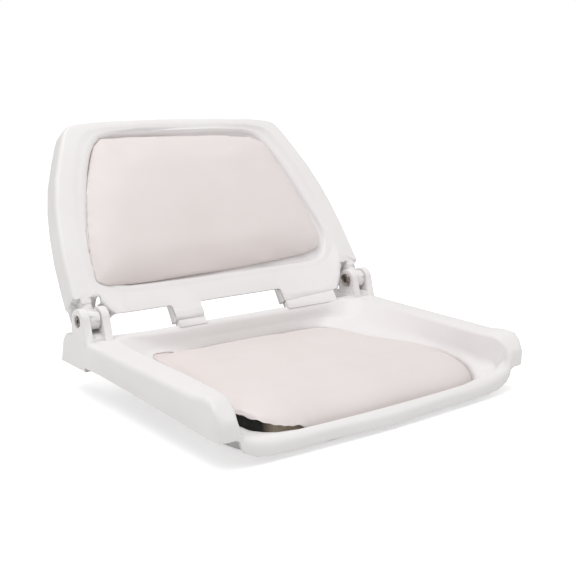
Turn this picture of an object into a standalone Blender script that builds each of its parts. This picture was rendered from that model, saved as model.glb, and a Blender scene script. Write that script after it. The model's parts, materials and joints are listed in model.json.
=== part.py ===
"""Folding boat seat: a moulded seat shell on a flat mounting floor, a backrest shell that
folds forward on two bolted hinges, and a padded vinyl cushion screwed into each shell.

Metres, +Z up. The origin is the centre of the mounting floor's underside, the sitter faces -Y
and +X is on the right as seen from the front. The hinge axis runs along X.
"""

import math

import bmesh
import bpy
from mathutils import Vector

# Seat shell.
SEAT_HALF_WIDTH = 0.250
SEAT_SIDE_BAND = 0.075
SEAT_RIM_WIDTH = 0.053
RAIL_WIDTH = 0.040
RAIL_HEIGHT = 0.0765
NOSE_REACH = 0.150
LEDGE_REACH = 0.163
LIP_WIDTH = 0.005
LEDGE_WIDTH = 0.018
SHELL_WALL = 0.0035
OUTER_EDGE_RADIUS = 0.007
INNER_EDGE_RADIUS = 0.008
WALL_FOOT_RADIUS = 0.022
RIM_RADIUS = 0.005
FLOOR_RADIUS = 0.006
RECESS_DRAFT = 0.003
FLOOR_MARGIN = 0.016

# Hinges.
HINGE_SETBACK = 0.005
HINGE_RISE = 0.0245
EAR_RADIUS = 0.016
EAR_FRONT_REACH = 0.024
EAR_REAR_REACH = 0.018
EAR_ROOT = 0.002
OUTER_EAR_THICKNESS = 0.012
INNER_EAR_THICKNESS = 0.011
EAR_EDGE_ROUND = 0.0012
FLUSH_STEP = 0.0004
EAR_STEPS = 12
KNUCKLE_RADIUS = 0.013
KNUCKLE_GAP = 0.0015
WEB_GAP = 0.004
WEB_FRONT_REACH = 0.020
WEB_REAR_REACH = 0.016
BLOCK_RISE = 0.0025
BLOCK_DEPTH = 0.0365
BLOCK_FRONT_REACH = 0.018
BLOCK_REAR_REACH = 0.040
BLOCK_SLOPE = 0.009
BLOCK_DROP = 0.0108
BLOCK_FLARE = 0.006
BLOCK_ROUND = 0.006
BLOCK_EDGE = 0.0005
BARREL_RADIUS = 0.005
BARREL_HEAD_RADIUS = 0.0093
BARREL_HEAD_HEIGHT = 0.0028
BARREL_HEAD_ROUND = 0.0008
BARREL_THREAD_DEPTH = 0.022
BARREL_END_GAP = 0.001
SOCKET_RADIUS = 0.003
SOCKET_DEPTH = 0.0018
SCREW_RADIUS = 0.003
SCREW_HEAD_RADIUS = 0.0068
SCREW_HEAD_HEIGHT = 0.0032
SCREW_HEAD_GAP = 0.0015
SCREW_LENGTH = 0.018
WASHER_RADIUS = 0.0095
FIT_GAP = 0.0003

# Backrest shell, in its own frame on the hinge axis: X across, Y behind the face, Z up the slant.
RECLINE_DEG = 33.4
FACE_OFFSET = 0.0025
BACK_SIDE_GAP = 0.003
BACK_SIDE_BAND = 0.06175
BACK_RIM_WIDTH = 0.0445
BACK_HEIGHT = 0.2915
RIM_DEPTH = 0.031
TAB_DROP = 0.0205
BACK_WALL = 0.0032
PANEL_SET = 0.005
BACK_RECESS_DEPTH = 0.006
BACK_EDGE_RADIUS = 0.006
BACK_SLOPE_RADIUS = 0.008
BACK_RIM_RADIUS = 0.004
BACK_RECESS_LOW = 0.039
BACK_TOP_BAND = 0.0225
NOTCH_TOP = 0.0025
NOTCH_ROUND = 0.004
TAB_SIDE_GAP = 0.002
TAB_LEFT_OUTER = 0.107
TAB_LEFT_INNER = 0.062
TAB_RIGHT_INNER = 0.080
TAB_RIGHT_END = 0.032
TAB_RIGHT_LIFT = 0.0028
TAB_RIGHT_TAPER = 0.0055
TAB_WALL = 0.0032
TAB_WALL_DEPTH = 0.0165
TAB_WALL_HEIGHT = 0.028
TAB_STEP = 0.0008
LEG_END_STEP = 0.004
LEG_END_HEIGHT = 0.034
LEG_END_INSET = 0.0015
EAR_ROOM_GAP = 0.006
EAR_ROOM_STRETCH = 0.008
STOP_GAP = 0.0006
STOP_FRONT = -0.003
STOP_LENGTH = 0.010
STOP_HEIGHT = 0.010
STOP_INSET = 0.001
BACK_RIB_WIDTH = 0.003
BACK_RIB_DEPTH = 0.009
BACK_RIB_SPACING = 0.120
BACK_OUTER_RIB_SHARE = 0.97
BACK_RIB_END_GAP = 0.007
BACK_CROSS_RIB_END = 0.0245
BACK_CROSS_RIB_WIDTH = 0.0026
BACK_CROSS_RIB_STEP = 0.0012
BACK_BOSS_HEIGHT = 0.004

# Cushions.
CUSHION_GAP = 0.004
CUSHION_STEPS = 20
COVER_THICKNESS = 0.0012
STAND_GAP = 0.0012
SEAT_BOARD_THICKNESS = 0.009
SEAT_SIDE_HEIGHT = 0.033
SEAT_SIDE_TILT = 0.003
SEAT_CROWN = 0.008
BACK_BOARD_THICKNESS = 0.006
BACK_SIDE_HEIGHT = 0.013
BACK_CROWN = 0.008
BOARD_INSET = 0.0055
CORNER_PULL_SHARE = 0.25
FOAM_GAP = 0.0006

# Fasteners.
TNUT_SPACING = 0.127
TNUT_BARREL_RADIUS = 0.0048
TNUT_BORE_RADIUS = 0.0032
TNUT_FLANGE_RADIUS = 0.0095
TNUT_FLANGE_HEIGHT = 0.0015
TNUT_BOSS_RADIUS = 0.0125
TNUT_BOSS_HEIGHT = 0.0085
TNUT_TIP_LIFT = 0.001
CUSHION_SCREW_RADIUS = 0.002
CUSHION_SCREW_HEAD_RADIUS = 0.0042
CUSHION_SCREW_HEAD_HEIGHT = 0.0025
HEAD_CLEARANCE = 0.0008
SCREW_EDGE = 0.0005
SEAT_COUNTERBORE_DEPTH = 0.004
SEAT_SCREW_BITE = 0.007
BACK_SCREW_BITE = 0.0045
SEAT_SCREW_X = 0.105
SEAT_SCREW_Y = 0.085
BACK_SCREW_INSET = 0.025
BACK_SCREW_RISE = 0.070
SCREW_POST_RADIUS = 0.0085
CUT_OVERRUN = 0.004

EDGE_STEPS = 2
BACK_EDGE_STEPS = 3
FLOOR_STEPS = 2
RIM_STEPS = 1
EDGE_CORNERS = 3
LIP_WALL_SHARE = 0.5
FILLET_LIMIT_SHARE = 0.47
ROUND_SIDES = 20
BORE_SIDES = 16
SMALL_SIDES = 12
MERGE_DISTANCE = 0.00001
QUARTER = math.pi / 2
SMOOTH_ANGLE = math.radians(48)
STRAIGHT_ANGLE = math.radians(0.5)

SEAT_BAND_SHARE = 0.7
BACK_BAND_SHARE = 0.75

SEAT_RECESS_HALF_WIDTH = SEAT_HALF_WIDTH - SEAT_RIM_WIDTH
SEAT_RECESS_FRONT = NOSE_REACH - LIP_WIDTH
SEAT_RECESS_REAR = LEDGE_REACH - LEDGE_WIDTH
HINGE_Y = LEDGE_REACH + HINGE_SETBACK
HINGE_Z = RAIL_HEIGHT + HINGE_RISE
WEB_HEIGHT = HINGE_Z - KNUCKLE_RADIUS - WEB_GAP
BLOCK_TOP = RAIL_HEIGHT + BLOCK_RISE
BLOCK_BOTTOM = RAIL_HEIGHT - BLOCK_DEPTH
BLOCK_FRONT = HINGE_Y - BLOCK_FRONT_REACH
BLOCK_REAR = HINGE_Y + BLOCK_REAR_REACH
COUNTERBORE_RADIUS = SCREW_HEAD_RADIUS + SCREW_HEAD_GAP
COUNTERBORE_DEPTH = SCREW_HEAD_HEIGHT + SCREW_HEAD_GAP
RAIL_INNER = SEAT_HALF_WIDTH - RAIL_WIDTH
OUTER_EAR_INNER = SEAT_HALF_WIDTH - OUTER_EAR_THICKNESS
INNER_EAR_OUTER = RAIL_INNER + INNER_EAR_THICKNESS
KNUCKLE_OUTER = OUTER_EAR_INNER - KNUCKLE_GAP
KNUCKLE_INNER = INNER_EAR_OUTER + KNUCKLE_GAP
BORE_RADIUS = BARREL_RADIUS + FIT_GAP
BACK_HALF_WIDTH = SEAT_HALF_WIDTH - BACK_SIDE_GAP
BACK_RECESS_HALF_WIDTH = BACK_HALF_WIDTH - BACK_RIM_WIDTH
BACK_RECESS_TOP = BACK_HEIGHT - BACK_TOP_BAND
BACK_RECESS_HALF_HEIGHT = (BACK_RECESS_TOP - BACK_RECESS_LOW) / 2
BACK_RECESS_CENTRE = (BACK_RECESS_TOP + BACK_RECESS_LOW) / 2
TAB_SIDE_REACH = RAIL_INNER - TAB_SIDE_GAP
TAB_RIGHT_OUTER = TAB_SIDE_REACH - TAB_RIGHT_END
TAB_RIGHT_DROP = TAB_DROP - TAB_RIGHT_LIFT
TAB_RIGHT_OUTER_DROP = TAB_RIGHT_DROP - TAB_RIGHT_TAPER
LEG_END_DEPTH = RIM_DEPTH - LEG_END_STEP
EAR_ROOM_DEPTH = EAR_RADIUS + EAR_ROOM_GAP
EAR_ROOM_HEIGHT = EAR_ROOM_DEPTH + EAR_ROOM_STRETCH
BACK_CROSS_RIB_REACH = BACK_RECESS_HALF_WIDTH - BACK_CROSS_RIB_END
SEAT_STAND_HEIGHT = TNUT_BOSS_HEIGHT + FIT_GAP + TNUT_FLANGE_HEIGHT + STAND_GAP
BACK_SCREW_X = BACK_RIB_SPACING - BACK_SCREW_INSET
BACK_FACE = -FACE_OFFSET
BACK_PANEL = BACK_FACE + PANEL_SET
BACK_FLOOR = BACK_PANEL + BACK_RECESS_DEPTH
RECLINE = math.radians(RECLINE_DEG)
SIDES = {"left": -1, "right": 1}

# Half loop of the seat shell from the middle of the rear ledge round the side to the middle of
# the lip. Each row holds, as shares: the outer edge's x and y, its skirt's and its top's height,
# the inner edge's x, y and height, the wall foot's x, y and height, the recess rim's x, y and
# height. Plan shares follow the half width and the reach, rim shares the recess, and heights the
# rail's.
TRAY_SHARES = [
    (0.000, 1.000, 0.540, 1.020, 0.000, 0.902, 1.020, 0.000, 0.893, 0.760, 0.000, 0.983, 0.600),
    (0.240, 1.000, 0.540, 1.020, 0.240, 0.902, 1.020, 0.235, 0.893, 0.760, 0.300, 0.983, 0.600),
    (0.440, 1.000, 0.540, 1.010, 0.440, 0.902, 1.010, 0.425, 0.892, 0.760, 0.480, 0.975, 0.600),
    (0.620, 1.000, 0.540, 1.010, 0.620, 0.902, 1.010, 0.580, 0.885, 0.750, 0.600, 0.950, 0.600),
    (0.780, 1.000, 0.540, 1.030, 0.745, 0.895, 1.020, 0.660, 0.840, 0.730, 0.690, 0.905, 0.590),
    (0.910, 1.000, 0.550, 1.030, 0.820, 0.850, 1.000, 0.700, 0.740, 0.680, 0.745, 0.780, 0.585),
    (1.000, 1.000, 0.580, 1.000, 0.844, 0.750, 1.000, 0.710, 0.640, 0.665, 0.768, 0.640, 0.580),
    (1.000, 0.675, 0.590, 1.000, 0.848, 0.580, 1.000, 0.725, 0.490, 0.655, 0.785, 0.500, 0.575),
    (1.000, 0.430, 0.575, 1.000, 0.848, 0.400, 1.000, 0.738, 0.330, 0.640, 0.815, 0.330, 0.570),
    (1.000, 0.200, 0.560, 1.000, 0.848, 0.190, 1.000, 0.756, 0.155, 0.630, 0.855, 0.150, 0.560),
    (1.000, 0.030, 0.545, 1.000, 0.848, 0.030, 1.000, 0.772, 0.020, 0.622, 0.900, 0.010, 0.555),
    (1.000, -0.130, 0.530, 1.000, 0.848, -0.130, 1.000, 0.788, -0.120, 0.615, 0.945, -0.130, 0.550),
    (1.000, -0.430, 0.510, 1.000, 0.848, -0.410, 1.000, 0.810, -0.390, 0.600, 0.992, -0.330, 0.520),
    (1.000, -0.645, 0.490, 1.000, 0.852, -0.600, 0.995, 0.822, -0.560, 0.565, 1.000, -0.560, 0.475),
    (1.000, -0.785, 0.480, 0.967, 0.860, -0.715, 0.967, 0.825, -0.680, 0.510, 0.985, -0.680, 0.430),
    (1.000, -0.880, 0.475, 0.900, 0.870, -0.795, 0.900, 0.820, -0.760, 0.470, 0.970, -0.731, 0.405),
    (1.000, -0.940, 0.470, 0.800, 0.878, -0.853, 0.815, 0.812, -0.820, 0.445, 0.957, -0.759, 0.392),
    (0.988, -0.983, 0.470, 0.720, 0.884, -0.890, 0.755, 0.805, -0.845, 0.430, 0.949, -0.776, 0.380),
    (0.960, -1.000, 0.470, 0.700, 0.888, -0.915, 0.710, 0.800, -0.860, 0.420, 0.942, -0.793, 0.373),
    (0.912, -1.000, 0.470, 0.685, 0.886, -0.935, 0.665, 0.795, -0.875, 0.410, 0.931, -0.814, 0.368),
    (0.880, -1.000, 0.430, 0.600, 0.865, -0.940, 0.590, 0.785, -0.885, 0.405, 0.921, -0.830, 0.366),
    (0.848, -1.000, 0.340, 0.500, 0.832, -0.953, 0.500, 0.770, -0.900, 0.395, 0.909, -0.848, 0.366),
    (0.816, -1.000, 0.235, 0.405, 0.796, -0.955, 0.425, 0.752, -0.915, 0.385, 0.893, -0.869, 0.366),
    (0.780, -1.003, 0.145, 0.330, 0.760, -0.963, 0.372, 0.725, -0.930, 0.375, 0.871, -0.895, 0.366),
    (0.712, -1.010, 0.105, 0.280, 0.690, -0.973, 0.340, 0.672, -0.948, 0.365, 0.822, -0.934, 0.366),
    (0.580, -1.020, 0.098, 0.268, 0.560, -0.986, 0.327, 0.558, -0.973, 0.339, 0.700, -0.974, 0.366),
    (0.388, -1.034, 0.118, 0.288, 0.376, -0.997, 0.333, 0.377, -0.987, 0.343, 0.482, -0.997, 0.366),
    (0.192, -1.043, 0.098, 0.268, 0.184, -1.003, 0.320, 0.186, -0.992, 0.334, 0.244, -1.000, 0.366),
    (0.000, -1.047, 0.078, 0.248, 0.000, -1.007, 0.314, 0.000, -0.995, 0.330, 0.000, -1.000, 0.366),
]

# Half loop of the backrest shell from the middle of the lower edge round the side to the middle
# of the top. Each row holds, as shares: the outer edge's x and rise, the rim's depth, the face's
# inner edge x and rise, the slope foot's x and rise, and the recess rim's x and rise. Rises
# above the axis follow the back's height, and those below it the tabs' drop.
BACK_SHARES = [
    (0.000, -1.00, 0.54, 0.000, -0.400, 0.000, 0.105, 0.000, -1.000),
    (0.364, -1.00, 0.54, 0.355, -0.400, 0.340, 0.105, 0.306, -1.000),
    (0.713, -1.00, 0.54, 0.680, -0.390, 0.630, 0.107, 0.593, -1.000),
    (0.757, -0.68, 0.56, 0.720, -0.200, 0.690, 0.113, 0.790, -0.990),
    (0.795, -0.05, 0.62, 0.755, 0.022, 0.730, 0.125, 0.879, -0.955),
    (0.822, 0.034, 0.70, 0.790, 0.052, 0.767, 0.140, 0.933, -0.880),
    (0.836, 0.064, 0.82, 0.818, 0.093, 0.796, 0.155, 0.968, -0.790),
    (0.875, 0.067, 0.90, 0.846, 0.124, 0.818, 0.172, 0.988, -0.720),
    (0.984, 0.067, 0.92, 0.862, 0.165, 0.834, 0.195, 0.998, -0.640),
    (1.000, 0.090, 0.95, 0.870, 0.200, 0.842, 0.222, 1.000, -0.570),
    (0.994, 0.178, 1.00, 0.870, 0.257, 0.842, 0.271, 0.995, -0.480),
    (0.984, 0.319, 1.00, 0.866, 0.343, 0.838, 0.350, 0.980, -0.350),
    (0.964, 0.446, 1.00, 0.854, 0.453, 0.826, 0.456, 0.950, -0.150),
    (0.937, 0.563, 1.00, 0.830, 0.549, 0.802, 0.545, 0.917, 0.050),
    (0.891, 0.693, 1.00, 0.798, 0.659, 0.769, 0.652, 0.880, 0.270),
    (0.830, 0.813, 0.99, 0.753, 0.762, 0.725, 0.751, 0.836, 0.500),
    (0.781, 0.902, 0.95, 0.717, 0.837, 0.688, 0.823, 0.790, 0.680),
    (0.755, 0.943, 0.90, 0.688, 0.880, 0.660, 0.861, 0.754, 0.790),
    (0.727, 0.968, 0.86, 0.660, 0.908, 0.632, 0.888, 0.714, 0.880),
    (0.680, 0.980, 0.83, 0.618, 0.935, 0.597, 0.918, 0.660, 0.955),
    (0.567, 0.990, 0.80, 0.510, 0.953, 0.490, 0.937, 0.553, 0.995),
    (0.324, 0.998, 0.80, 0.292, 0.962, 0.279, 0.945, 0.316, 1.000),
    (0.000, 1.000, 0.80, 0.000, 0.963, 0.000, 0.946, 0.000, 1.000),
]

# Cushion section from the hem to the crown, as shares: of the outline, of the side's height and
# of the crown.
COVER_SHARES = [
    (0.985, 0.00, 0.00),
    (1.002, 0.28, 0.00),
    (0.998, 0.82, 0.02),
    (0.945, 1.02, 0.22),
    (0.760, 1.00, 0.68),
    (0.440, 1.00, 0.96),
]


def clear_scene():
    for obj in list(bpy.data.objects):
        bpy.data.objects.remove(obj, do_unlink=True)


def new_collection(name):
    collection = bpy.data.collections.new(name)
    bpy.context.scene.collection.children.link(collection)
    return collection


def material(name, color, roughness, metallic=0.0):
    made = bpy.data.materials.new(name)
    made.use_nodes = True
    shader = made.node_tree.nodes["Principled BSDF"]
    shader.inputs["Base Color"].default_value = (*color, 1.0)
    shader.inputs["Roughness"].default_value = roughness
    shader.inputs["Metallic"].default_value = metallic
    made.diffuse_color = (*color, 1.0)
    return made


def finish_mesh(name, bm, collection, parent=None):
    mesh = bpy.data.meshes.new(name)
    bm.to_mesh(mesh)
    bm.free()
    obj = bpy.data.objects.new(name, mesh)
    collection.objects.link(obj)
    obj.parent = parent
    return obj


def dress(obj, look):
    obj.data.materials.clear()
    obj.data.materials.append(look)
    obj.data.shade_smooth()
    obj.data.set_sharp_from_angle(angle=SMOOTH_ANGLE)
    return obj


def boolean(target, tool, operation):
    tool.hide_render = True
    tool.display_type = "WIRE"
    modifier = target.modifiers.new(f"{operation.lower()}_{tool.name}", "BOOLEAN")
    modifier.operation = operation
    modifier.solver = "EXACT"
    modifier.object = tool


def solidify(obj, thickness):
    modifier = obj.modifiers.new("wall", "SOLIDIFY")
    modifier.thickness = thickness
    modifier.offset = -1.0
    modifier.use_even_offset = False
    modifier.use_rim = True
    return modifier


def thin_lip(shell, wall, sections):
    """A thinner wall where the narrow front lip folds over into the recess."""
    rows = len(sections[0])
    first = 1 + EDGE_STEPS + 1
    last = 1 + EDGE_CORNERS * (EDGE_STEPS + 1) + RIM_STEPS
    group = shell.vertex_groups.new(name="wall")
    group.add(list(range(rows * len(sections))), 1.0, "REPLACE")
    lip = [
        rows * number + row
        for number, section in enumerate(sections)
        for row in range(first, last + 1)
        if section[0].y < -NOSE_REACH
    ]
    group.add(lip, LIP_WALL_SHARE, "REPLACE")
    wall.vertex_group = group.name


def box(name, low, high, collection, parent=None, round_by=None):
    """A box between two corners, with its edges rounded where asked."""
    bm = bmesh.new()
    bmesh.ops.create_cube(bm, size=1.0)
    middle = (Vector(low) + Vector(high)) / 2
    size = Vector(high) - Vector(low)
    for vert in bm.verts:
        vert.co = middle + vert.co * size
    if round_by:
        bmesh.ops.bevel(
            bm, geom=list(bm.edges), offset=round_by, segments=3, profile=0.5, affect="EDGES"
        )
    return finish_mesh(name, bm, collection, parent)


def rod(name, radius, start, end, centre, collection, parent=None, stretch=1.0, sides=ROUND_SIDES):
    """A closed cylinder along X about a centre in Y and Z, stretched in Z where asked."""
    bm = bmesh.new()
    bmesh.ops.create_cone(
        bm, cap_ends=True, segments=sides, radius1=radius, radius2=radius, depth=end - start
    )
    middle = Vector(((start + end) / 2, *centre))
    for vert in bm.verts:
        x, y, z = vert.co
        vert.co = middle + Vector((z, y, -x * stretch))
    return finish_mesh(name, bm, collection, parent)


def post(name, radius, low, high, centre, collection, parent=None, along="Z", sides=SMALL_SIDES):
    """A closed cylinder between two levels: along Z, or along Y in the backrest's frame."""
    bm = bmesh.new()
    bmesh.ops.create_cone(
        bm, cap_ends=True, segments=sides, radius1=radius, radius2=radius, depth=high - low
    )
    for vert in bm.verts:
        x, y, z = vert.co
        level = (low + high) / 2 + z
        if along == "Z":
            vert.co = Vector((centre[0] + x, centre[1] + y, level))
        else:
            vert.co = Vector((centre[0] + x, level, centre[1] - y))
    return finish_mesh(name, bm, collection, parent)


def plate(name, outline, low, high, collection, parent=None, along="X", round_by=0.0):
    """A flat outline with thickness: drawn in Y and Z along X, in X and Z along Y, or in X and Y
    along Z."""
    curve = bpy.data.curves.new(name, "CURVE")
    curve.dimensions = "2D"
    curve.fill_mode = "BOTH"
    curve.extrude = (high - low) / 2 - round_by
    curve.bevel_depth = round_by
    curve.bevel_resolution = 1
    spline = curve.splines.new("POLY")
    spline.points.add(len(outline) - 1)
    for point, place in zip(spline.points, outline):
        point.co = (place[0], place[1], 0.0, 1.0)
    spline.use_cyclic_u = True
    holder = bpy.data.objects.new(name, curve)
    collection.objects.link(holder)
    middle = (low + high) / 2
    if along == "X":
        holder.rotation_euler = (QUARTER, 0.0, QUARTER)
        holder.location.x = middle
    elif along == "Y":
        holder.rotation_euler = (QUARTER, 0.0, 0.0)
        holder.location.y = middle
    else:
        holder.location.z = middle
    bpy.context.view_layer.update()
    graph = bpy.context.evaluated_depsgraph_get()
    mesh = bpy.data.meshes.new_from_object(holder.evaluated_get(graph))
    matrix = holder.matrix_world.copy()
    bpy.data.objects.remove(holder)
    bm = bmesh.new()
    bm.from_mesh(mesh)
    bmesh.ops.remove_doubles(bm, verts=bm.verts, dist=MERGE_DISTANCE)
    bmesh.ops.recalc_face_normals(bm, faces=bm.faces)
    bm.to_mesh(mesh)
    bm.free()
    mesh.transform(matrix)
    mesh.name = name
    obj = bpy.data.objects.new(name, mesh)
    collection.objects.link(obj)
    obj.parent = parent
    return obj


def turned(name, profile, collection, closed=False, sides=ROUND_SIDES):
    """A turned piece about Z from a radius and height profile that runs down its outer side."""
    bm = bmesh.new()
    verts = [bm.verts.new((radius, 0.0, height)) for radius, height in profile]
    ends = verts[1:] + verts[:1] if closed else verts[1:]
    for first, second in zip(verts, ends):
        bm.edges.new((first, second))
    obj = finish_mesh(name, bm, collection)
    screw = obj.modifiers.new("turn", "SCREW")
    screw.axis = "Z"
    screw.steps = sides
    screw.render_steps = sides
    screw.use_merge_vertices = True
    screw.merge_threshold = MERGE_DISTANCE
    return obj


def fillet(corners, radii, all_steps):
    """The polyline through the corners with its inner corners rounded, always as many points."""
    points = [corners[0]]
    places = zip(corners, corners[1:], corners[2:], radii, all_steps)
    for before, corner, after, radius, steps in places:
        back = before - corner
        ahead = after - corner
        half_angle = back.angle(ahead) / 2
        reach = radius / math.tan(half_angle)
        reach = min(reach, back.length * FILLET_LIMIT_SHARE, ahead.length * FILLET_LIMIT_SHARE)
        start = corner + back.normalized() * reach
        end = corner + ahead.normalized() * reach
        weight = math.sin(half_angle)
        for step in range(steps + 1):
            share = step / steps
            pull = 2 * weight * share * (1 - share)
            total = (1 - share) ** 2 + pull + share**2
            points.append((start * (1 - share) ** 2 + corner * pull + end * share**2) / total)
    points.append(corners[-1])
    return points


def mirrored(half):
    """A full loop from a half one whose first and last sections lie on the middle plane."""
    other = [
        [Vector((-point.x, point.y, point.z)) for point in section]
        for section in reversed(half[1:-1])
    ]
    return half + other


def loft(name, sections, outward, collection, parent=None):
    """An open dish through the sections of a closed loop, capped over their inner ends."""
    bm = bmesh.new()
    rings = [[bm.verts.new(point) for point in section] for section in sections]
    for here, there in zip(rings, rings[1:] + rings[:1]):
        for row in range(len(here) - 1):
            bm.faces.new((here[row], here[row + 1], there[row + 1], there[row]))
    cap = bm.faces.new([ring[-1] for ring in rings])
    bmesh.ops.recalc_face_normals(bm, faces=bm.faces)
    if cap.normal.dot(outward) < 0:
        bmesh.ops.reverse_faces(bm, faces=bm.faces)
    return finish_mesh(name, bm, collection, parent)


def even_loop(points, count):
    """Points at even steps along a closed outline."""
    loop = points + points[:1]
    marks = [0.0]
    for first, second in zip(loop, loop[1:]):
        marks.append(marks[-1] + (second - first).length)
    spaced = []
    piece = 0
    for index in range(count):
        target = marks[-1] * index / count
        while marks[piece + 1] < target:
            piece += 1
        share = (target - marks[piece]) / (marks[piece + 1] - marks[piece])
        spaced.append(loop[piece].lerp(loop[piece + 1], share))
    return spaced


def softened(points):
    """The outline as the cushion's cover rounds it: each corner drawn in and edges halved."""
    smooth = []
    for before, point, after in zip(points[-1:] + points[:-1], points, points[1:] + points[:1]):
        smooth.append(point.lerp((before + after) / 2, CORNER_PULL_SHARE))
        smooth.append((point + after) / 2)
    return smooth


def drawn_in(points, distance):
    """The outline moved towards its middle by an even distance."""
    moved = []
    for before, point, after in zip(points[-1:] + points[:-1], points, points[1:] + points[:1]):
        run = (after - before).normalized()
        inward = Vector((run.y, -run.x, 0.0))
        if inward.dot(point) > 0:
            inward = -inward
        moved.append(point + inward * distance)
    return moved


def bends_only(points):
    """The outline without the points that lie on a straight run between their neighbours."""
    kept = []
    for before, point, after in zip(points[-1:] + points[:-1], points, points[1:] + points[:1]):
        if (point - before).angle(after - point) > STRAIGHT_ANGLE:
            kept.append(point)
    return kept


def in_order(side, first, second):
    """Two X values on one side of the seat, in rising order."""
    return sorted((side * first, side * second))


def across(share, half_width, band, band_share):
    """A plan place from its share: the side band keeps its width and the middle stretches."""
    if share > band_share:
        return half_width - band * (1 - share) / (1 - band_share)
    return (half_width - band) * share / band_share


def tray_sections():
    sections = []
    floor_share = 1 - RECESS_DRAFT / SEAT_RECESS_HALF_WIDTH
    inner_share = 1 - FLOOR_MARGIN / SEAT_RECESS_HALF_WIDTH
    radii = [OUTER_EDGE_RADIUS, INNER_EDGE_RADIUS, WALL_FOOT_RADIUS, RIM_RADIUS, FLOOR_RADIUS]
    steps = [EDGE_STEPS, EDGE_STEPS, EDGE_STEPS, RIM_STEPS, FLOOR_STEPS]

    def place(x, y, height):
        length = LEDGE_REACH if y > 0 else NOSE_REACH
        side = across(x, SEAT_HALF_WIDTH, SEAT_SIDE_BAND, SEAT_BAND_SHARE)
        return Vector((side, y * length, height * RAIL_HEIGHT))

    for row in TRAY_SHARES:
        edge_x, edge_y, skirt, top, inner_x, inner_y, inner_top = row[:7]
        foot_x, foot_y, foot, rim_x, rim_y, rim = row[7:]
        reach = SEAT_RECESS_REAR if rim_y > 0 else SEAT_RECESS_FRONT
        rim_place = Vector((rim_x * SEAT_RECESS_HALF_WIDTH, rim_y * reach, 0.0))
        corners = [
            place(edge_x, edge_y, skirt),
            place(edge_x, edge_y, top),
            place(inner_x, inner_y, inner_top),
            place(foot_x, foot_y, foot),
            rim_place + Vector((0.0, 0.0, rim * RAIL_HEIGHT)),
            rim_place * floor_share + Vector((0.0, 0.0, SHELL_WALL)),
            rim_place * inner_share + Vector((0.0, 0.0, SHELL_WALL)),
        ]
        sections.append(fillet(corners, radii, steps))
    return mirrored(sections)


def ear_outline():
    """A hinge ear about the axis: a round top with straight sides down to a spread foot."""
    foot = RAIL_HEIGHT - EAR_ROOT - HINGE_Z
    radius = EAR_RADIUS - EAR_EDGE_ROUND
    front = Vector((EAR_EDGE_ROUND - EAR_FRONT_REACH, foot))
    rear = Vector((EAR_REAR_REACH - EAR_EDGE_ROUND, foot))
    begin = math.atan2(rear.y, rear.x) + math.acos(radius / rear.length)
    finish = math.atan2(front.y, front.x) - math.acos(radius / front.length) + 2 * math.pi
    outline = [rear]
    for step in range(EAR_STEPS + 1):
        angle = begin + (finish - begin) * step / EAR_STEPS
        outline.append(Vector((math.cos(angle), math.sin(angle))) * radius)
    outline.append(front)
    return [point + Vector((HINGE_Y, HINGE_Z)) for point in outline]


def block_outline():
    """The rail's rear end under each hinge, with a sloped and rounded back."""
    corners = [
        Vector((BLOCK_FRONT, BLOCK_BOTTOM)),
        Vector((BLOCK_FRONT, BLOCK_TOP)),
        Vector((BLOCK_REAR - BLOCK_SLOPE, BLOCK_TOP)),
        Vector((BLOCK_REAR, BLOCK_TOP - BLOCK_DROP)),
        Vector((BLOCK_REAR + BLOCK_FLARE, BLOCK_BOTTOM)),
    ]
    radii = [BLOCK_EDGE, BLOCK_ROUND, BLOCK_ROUND]
    return fillet(corners, radii, [RIM_STEPS, FLOOR_STEPS, EDGE_STEPS])


def tab_line(x):
    """The right tab's lower edge, which rises outwards, in the backrest's frame."""
    rise = TAB_RIGHT_DROP - TAB_RIGHT_OUTER_DROP
    return -TAB_RIGHT_DROP + rise * (x - TAB_RIGHT_INNER) / (TAB_RIGHT_OUTER - TAB_RIGHT_INNER)


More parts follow.
